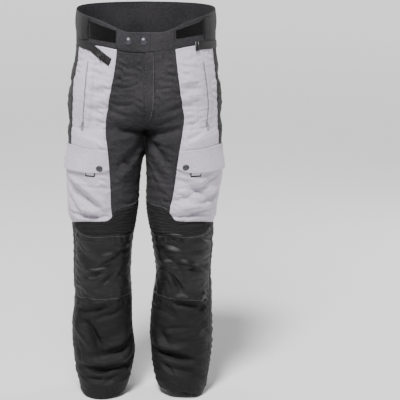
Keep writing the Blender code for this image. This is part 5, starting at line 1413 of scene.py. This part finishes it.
# Polyester thread: each stitch is a smooth small bead with a slight shine
thread = {"black": plain_finish("black_polyester_thread", "1A191A", 0.5),
          "grey": plain_finish("grey_polyester_thread", "968E9C", 0.5),
          "pale": plain_finish("pale_polyester_thread", "8A878A", 0.5)}
Run = namedtuple("Run", "colour kind seam low high offset out", defaults=(0.0,))
FLAP_FACE = FLAP_GAP + FLAP_THICK       # how far out the stitched faces lie
TAB_FACE = LAY_GAP + SNAP_TAB_THICK
RUNS = [
    Run("grey", "upright", INNER_GREY, 715, 950, EDGE_STITCH),
    Run("grey", "upright", INNER_GREY, 520, 645, EDGE_STITCH),
    Run("grey", "upright", INNER_GREY, 520, 645, SECOND_STITCH),
    Run("grey", "upright", INNER_GREY, 672, 700, EDGE_STITCH, FLAP_FACE),
    Run("black", "upright", INNER_GREY, 556, 950, -EDGE_STITCH),
    Run("grey", "upright", GREY_MESH, 715, 965, -EDGE_STITCH),
    Run("black", "upright", GREY_MESH, 715, 965, EDGE_STITCH),
    Run("black", "upright", MESH_SEAT, 715, 920, EDGE_STITCH),
    Run("black", "upright", MESH_SEAT, 715, 920, -EDGE_STITCH),
    Run("grey", "upright", POCKET_BACK, 500, 660, -EDGE_STITCH),
    Run("black", "upright", POCKET_BACK, 500, 660, EDGE_STITCH),
    Run("black", "upright", KNEE_SEAM, 24, 276, EDGE_STITCH),
    Run("black", "upright", KNEE_SEAM, 294, 468, EDGE_STITCH),
    Run("pale", "upright", KNEE_SEAM, 296, 466, -EDGE_STITCH),
    Run("black", "upright", CALF_SEAM, 24, 480, EDGE_STITCH),
    Run("black", "upright", BACK_EDGE, 850, 918, -EDGE_STITCH),
    Run("grey", "upright", WELT_INNER, 768, 934, -3.0),
    Run("grey", "upright", WELT_INNER, 768, 934, 2.2, WELT_OUT),
    Run("grey", "upright", past_welt(ZIP_GAP + ZIP_WIDTH + 3), 768, 934, 0.0),
    Run("grey", "level", level(BAG_SEAM), 0.20, 0.33, EDGE_STITCH),
    Run("grey", "level", THIGH, 0.27, 0.60, EDGE_STITCH),
    Run("grey", "level", FLAP_LOW, 0.245, 0.61, 3.2, FLAP_FACE),
    Run("grey", "level", FLAP_LOW, 0.255, 0.60, 7.4, FLAP_FACE),
    Run("grey", "level", FLAP_TOP, 0.250, 0.62, -3.6, FLAP_FACE),
    Run("grey", "level", FLAP_TOP, 0.250, 0.62, 3.0),
    Run("pale", "level", THIGH, 0.02, 0.195, EDGE_STITCH),
    Run("black", "level", THIGH, 0.02, 0.195, SECOND_STITCH),
    Run("black", "level", RIB_LOW, 0.02, 0.38, -EDGE_STITCH),
    Run("pale", "level", RIB_LOW, 0.02, 0.38, -SECOND_STITCH),
    Run("pale", "level", KNEE_LOW, 0.02, 0.40, EDGE_STITCH),
    Run("black", "level", KNEE_LOW, 0.02, 0.40, -EDGE_STITCH),
    Run("black", "level", HEM, 0.02, 0.98, 22.0),
    Run("black", "level", WAIST_SEAM, 0.16, 0.64, EDGE_STITCH),
    Run("black", "level", WAIST_SEAM, 0.16, 0.62, -EDGE_STITCH),
    Run("black", "level", WAIST_TOP, 0.16, 0.98, -EDGE_STITCH),
    Run("black", "level", WAIST_SEAM, 0.68, 0.98, EDGE_STITCH),
    Run("black", "level", YOKE_LOW, 0.70, 0.98, EDGE_STITCH),
    Run("black", "level", RIB_BACK_LOW, 0.70, 0.98, -EDGE_STITCH),
    Run("black", "level", POCKET_SEAM, 0.80, 0.98, EDGE_STITCH),
]
ONE_SIDE_RUNS = {
    RIGHT: [Run("black", "level", WAIST_SEAM, 0.003, 0.136, EDGE_STITCH, TAB_FACE),
            Run("black", "level", WAIST_TOP, 0.003, 0.136, -EDGE_STITCH, TAB_FACE)],
    LEFT: [Run("pale", "upright", FLY_SEAM, 782, 956, -3.0, FLY_OUT),
           Run("black", "upright", FLY_SEAM, 790, 956, -7.0, FLY_OUT),
           Run("black", "upright", FLY_EDGE, 790, 956, 3.0, FLY_OUT),
           Run("black", "level", WAIST_SEAM, 0.003, 0.024, EDGE_STITCH, TAB_FACE),
           Run("black", "level", WAIST_TOP, 0.003, 0.024, -EDGE_STITCH, TAB_FACE)],
}


def run_path(side, run):
    """Turns and heights of a row of stitches, at its distance from the seam."""
    marks = np.linspace(run.low, run.high, PATH_MARKS)
    if run.kind == "upright":
        return np.stack([run.seam(side, marks) + run.offset / around(side, marks), marks], axis=1)
    return np.stack([marks, run.seam(side, marks) + run.offset], axis=1)


for side in (RIGHT, LEFT):
    for colour, slot in (("black", "black_cloth"), ("grey", "grey_cloth"), ("pale", "knee_cloth")):
        rows = [along_path(side, run_path(side, run), STITCH_PITCH, run.out + STITCH_OUT)
                for run in RUNS + ONE_SIDE_RUNS[side] if run.colour == colour]
        places = [np.concatenate(part) for part in zip(*rows)]
        grains(f"{colour}_stitches_{TAG[side]}", places, STITCH_SIZE, thread[colour])
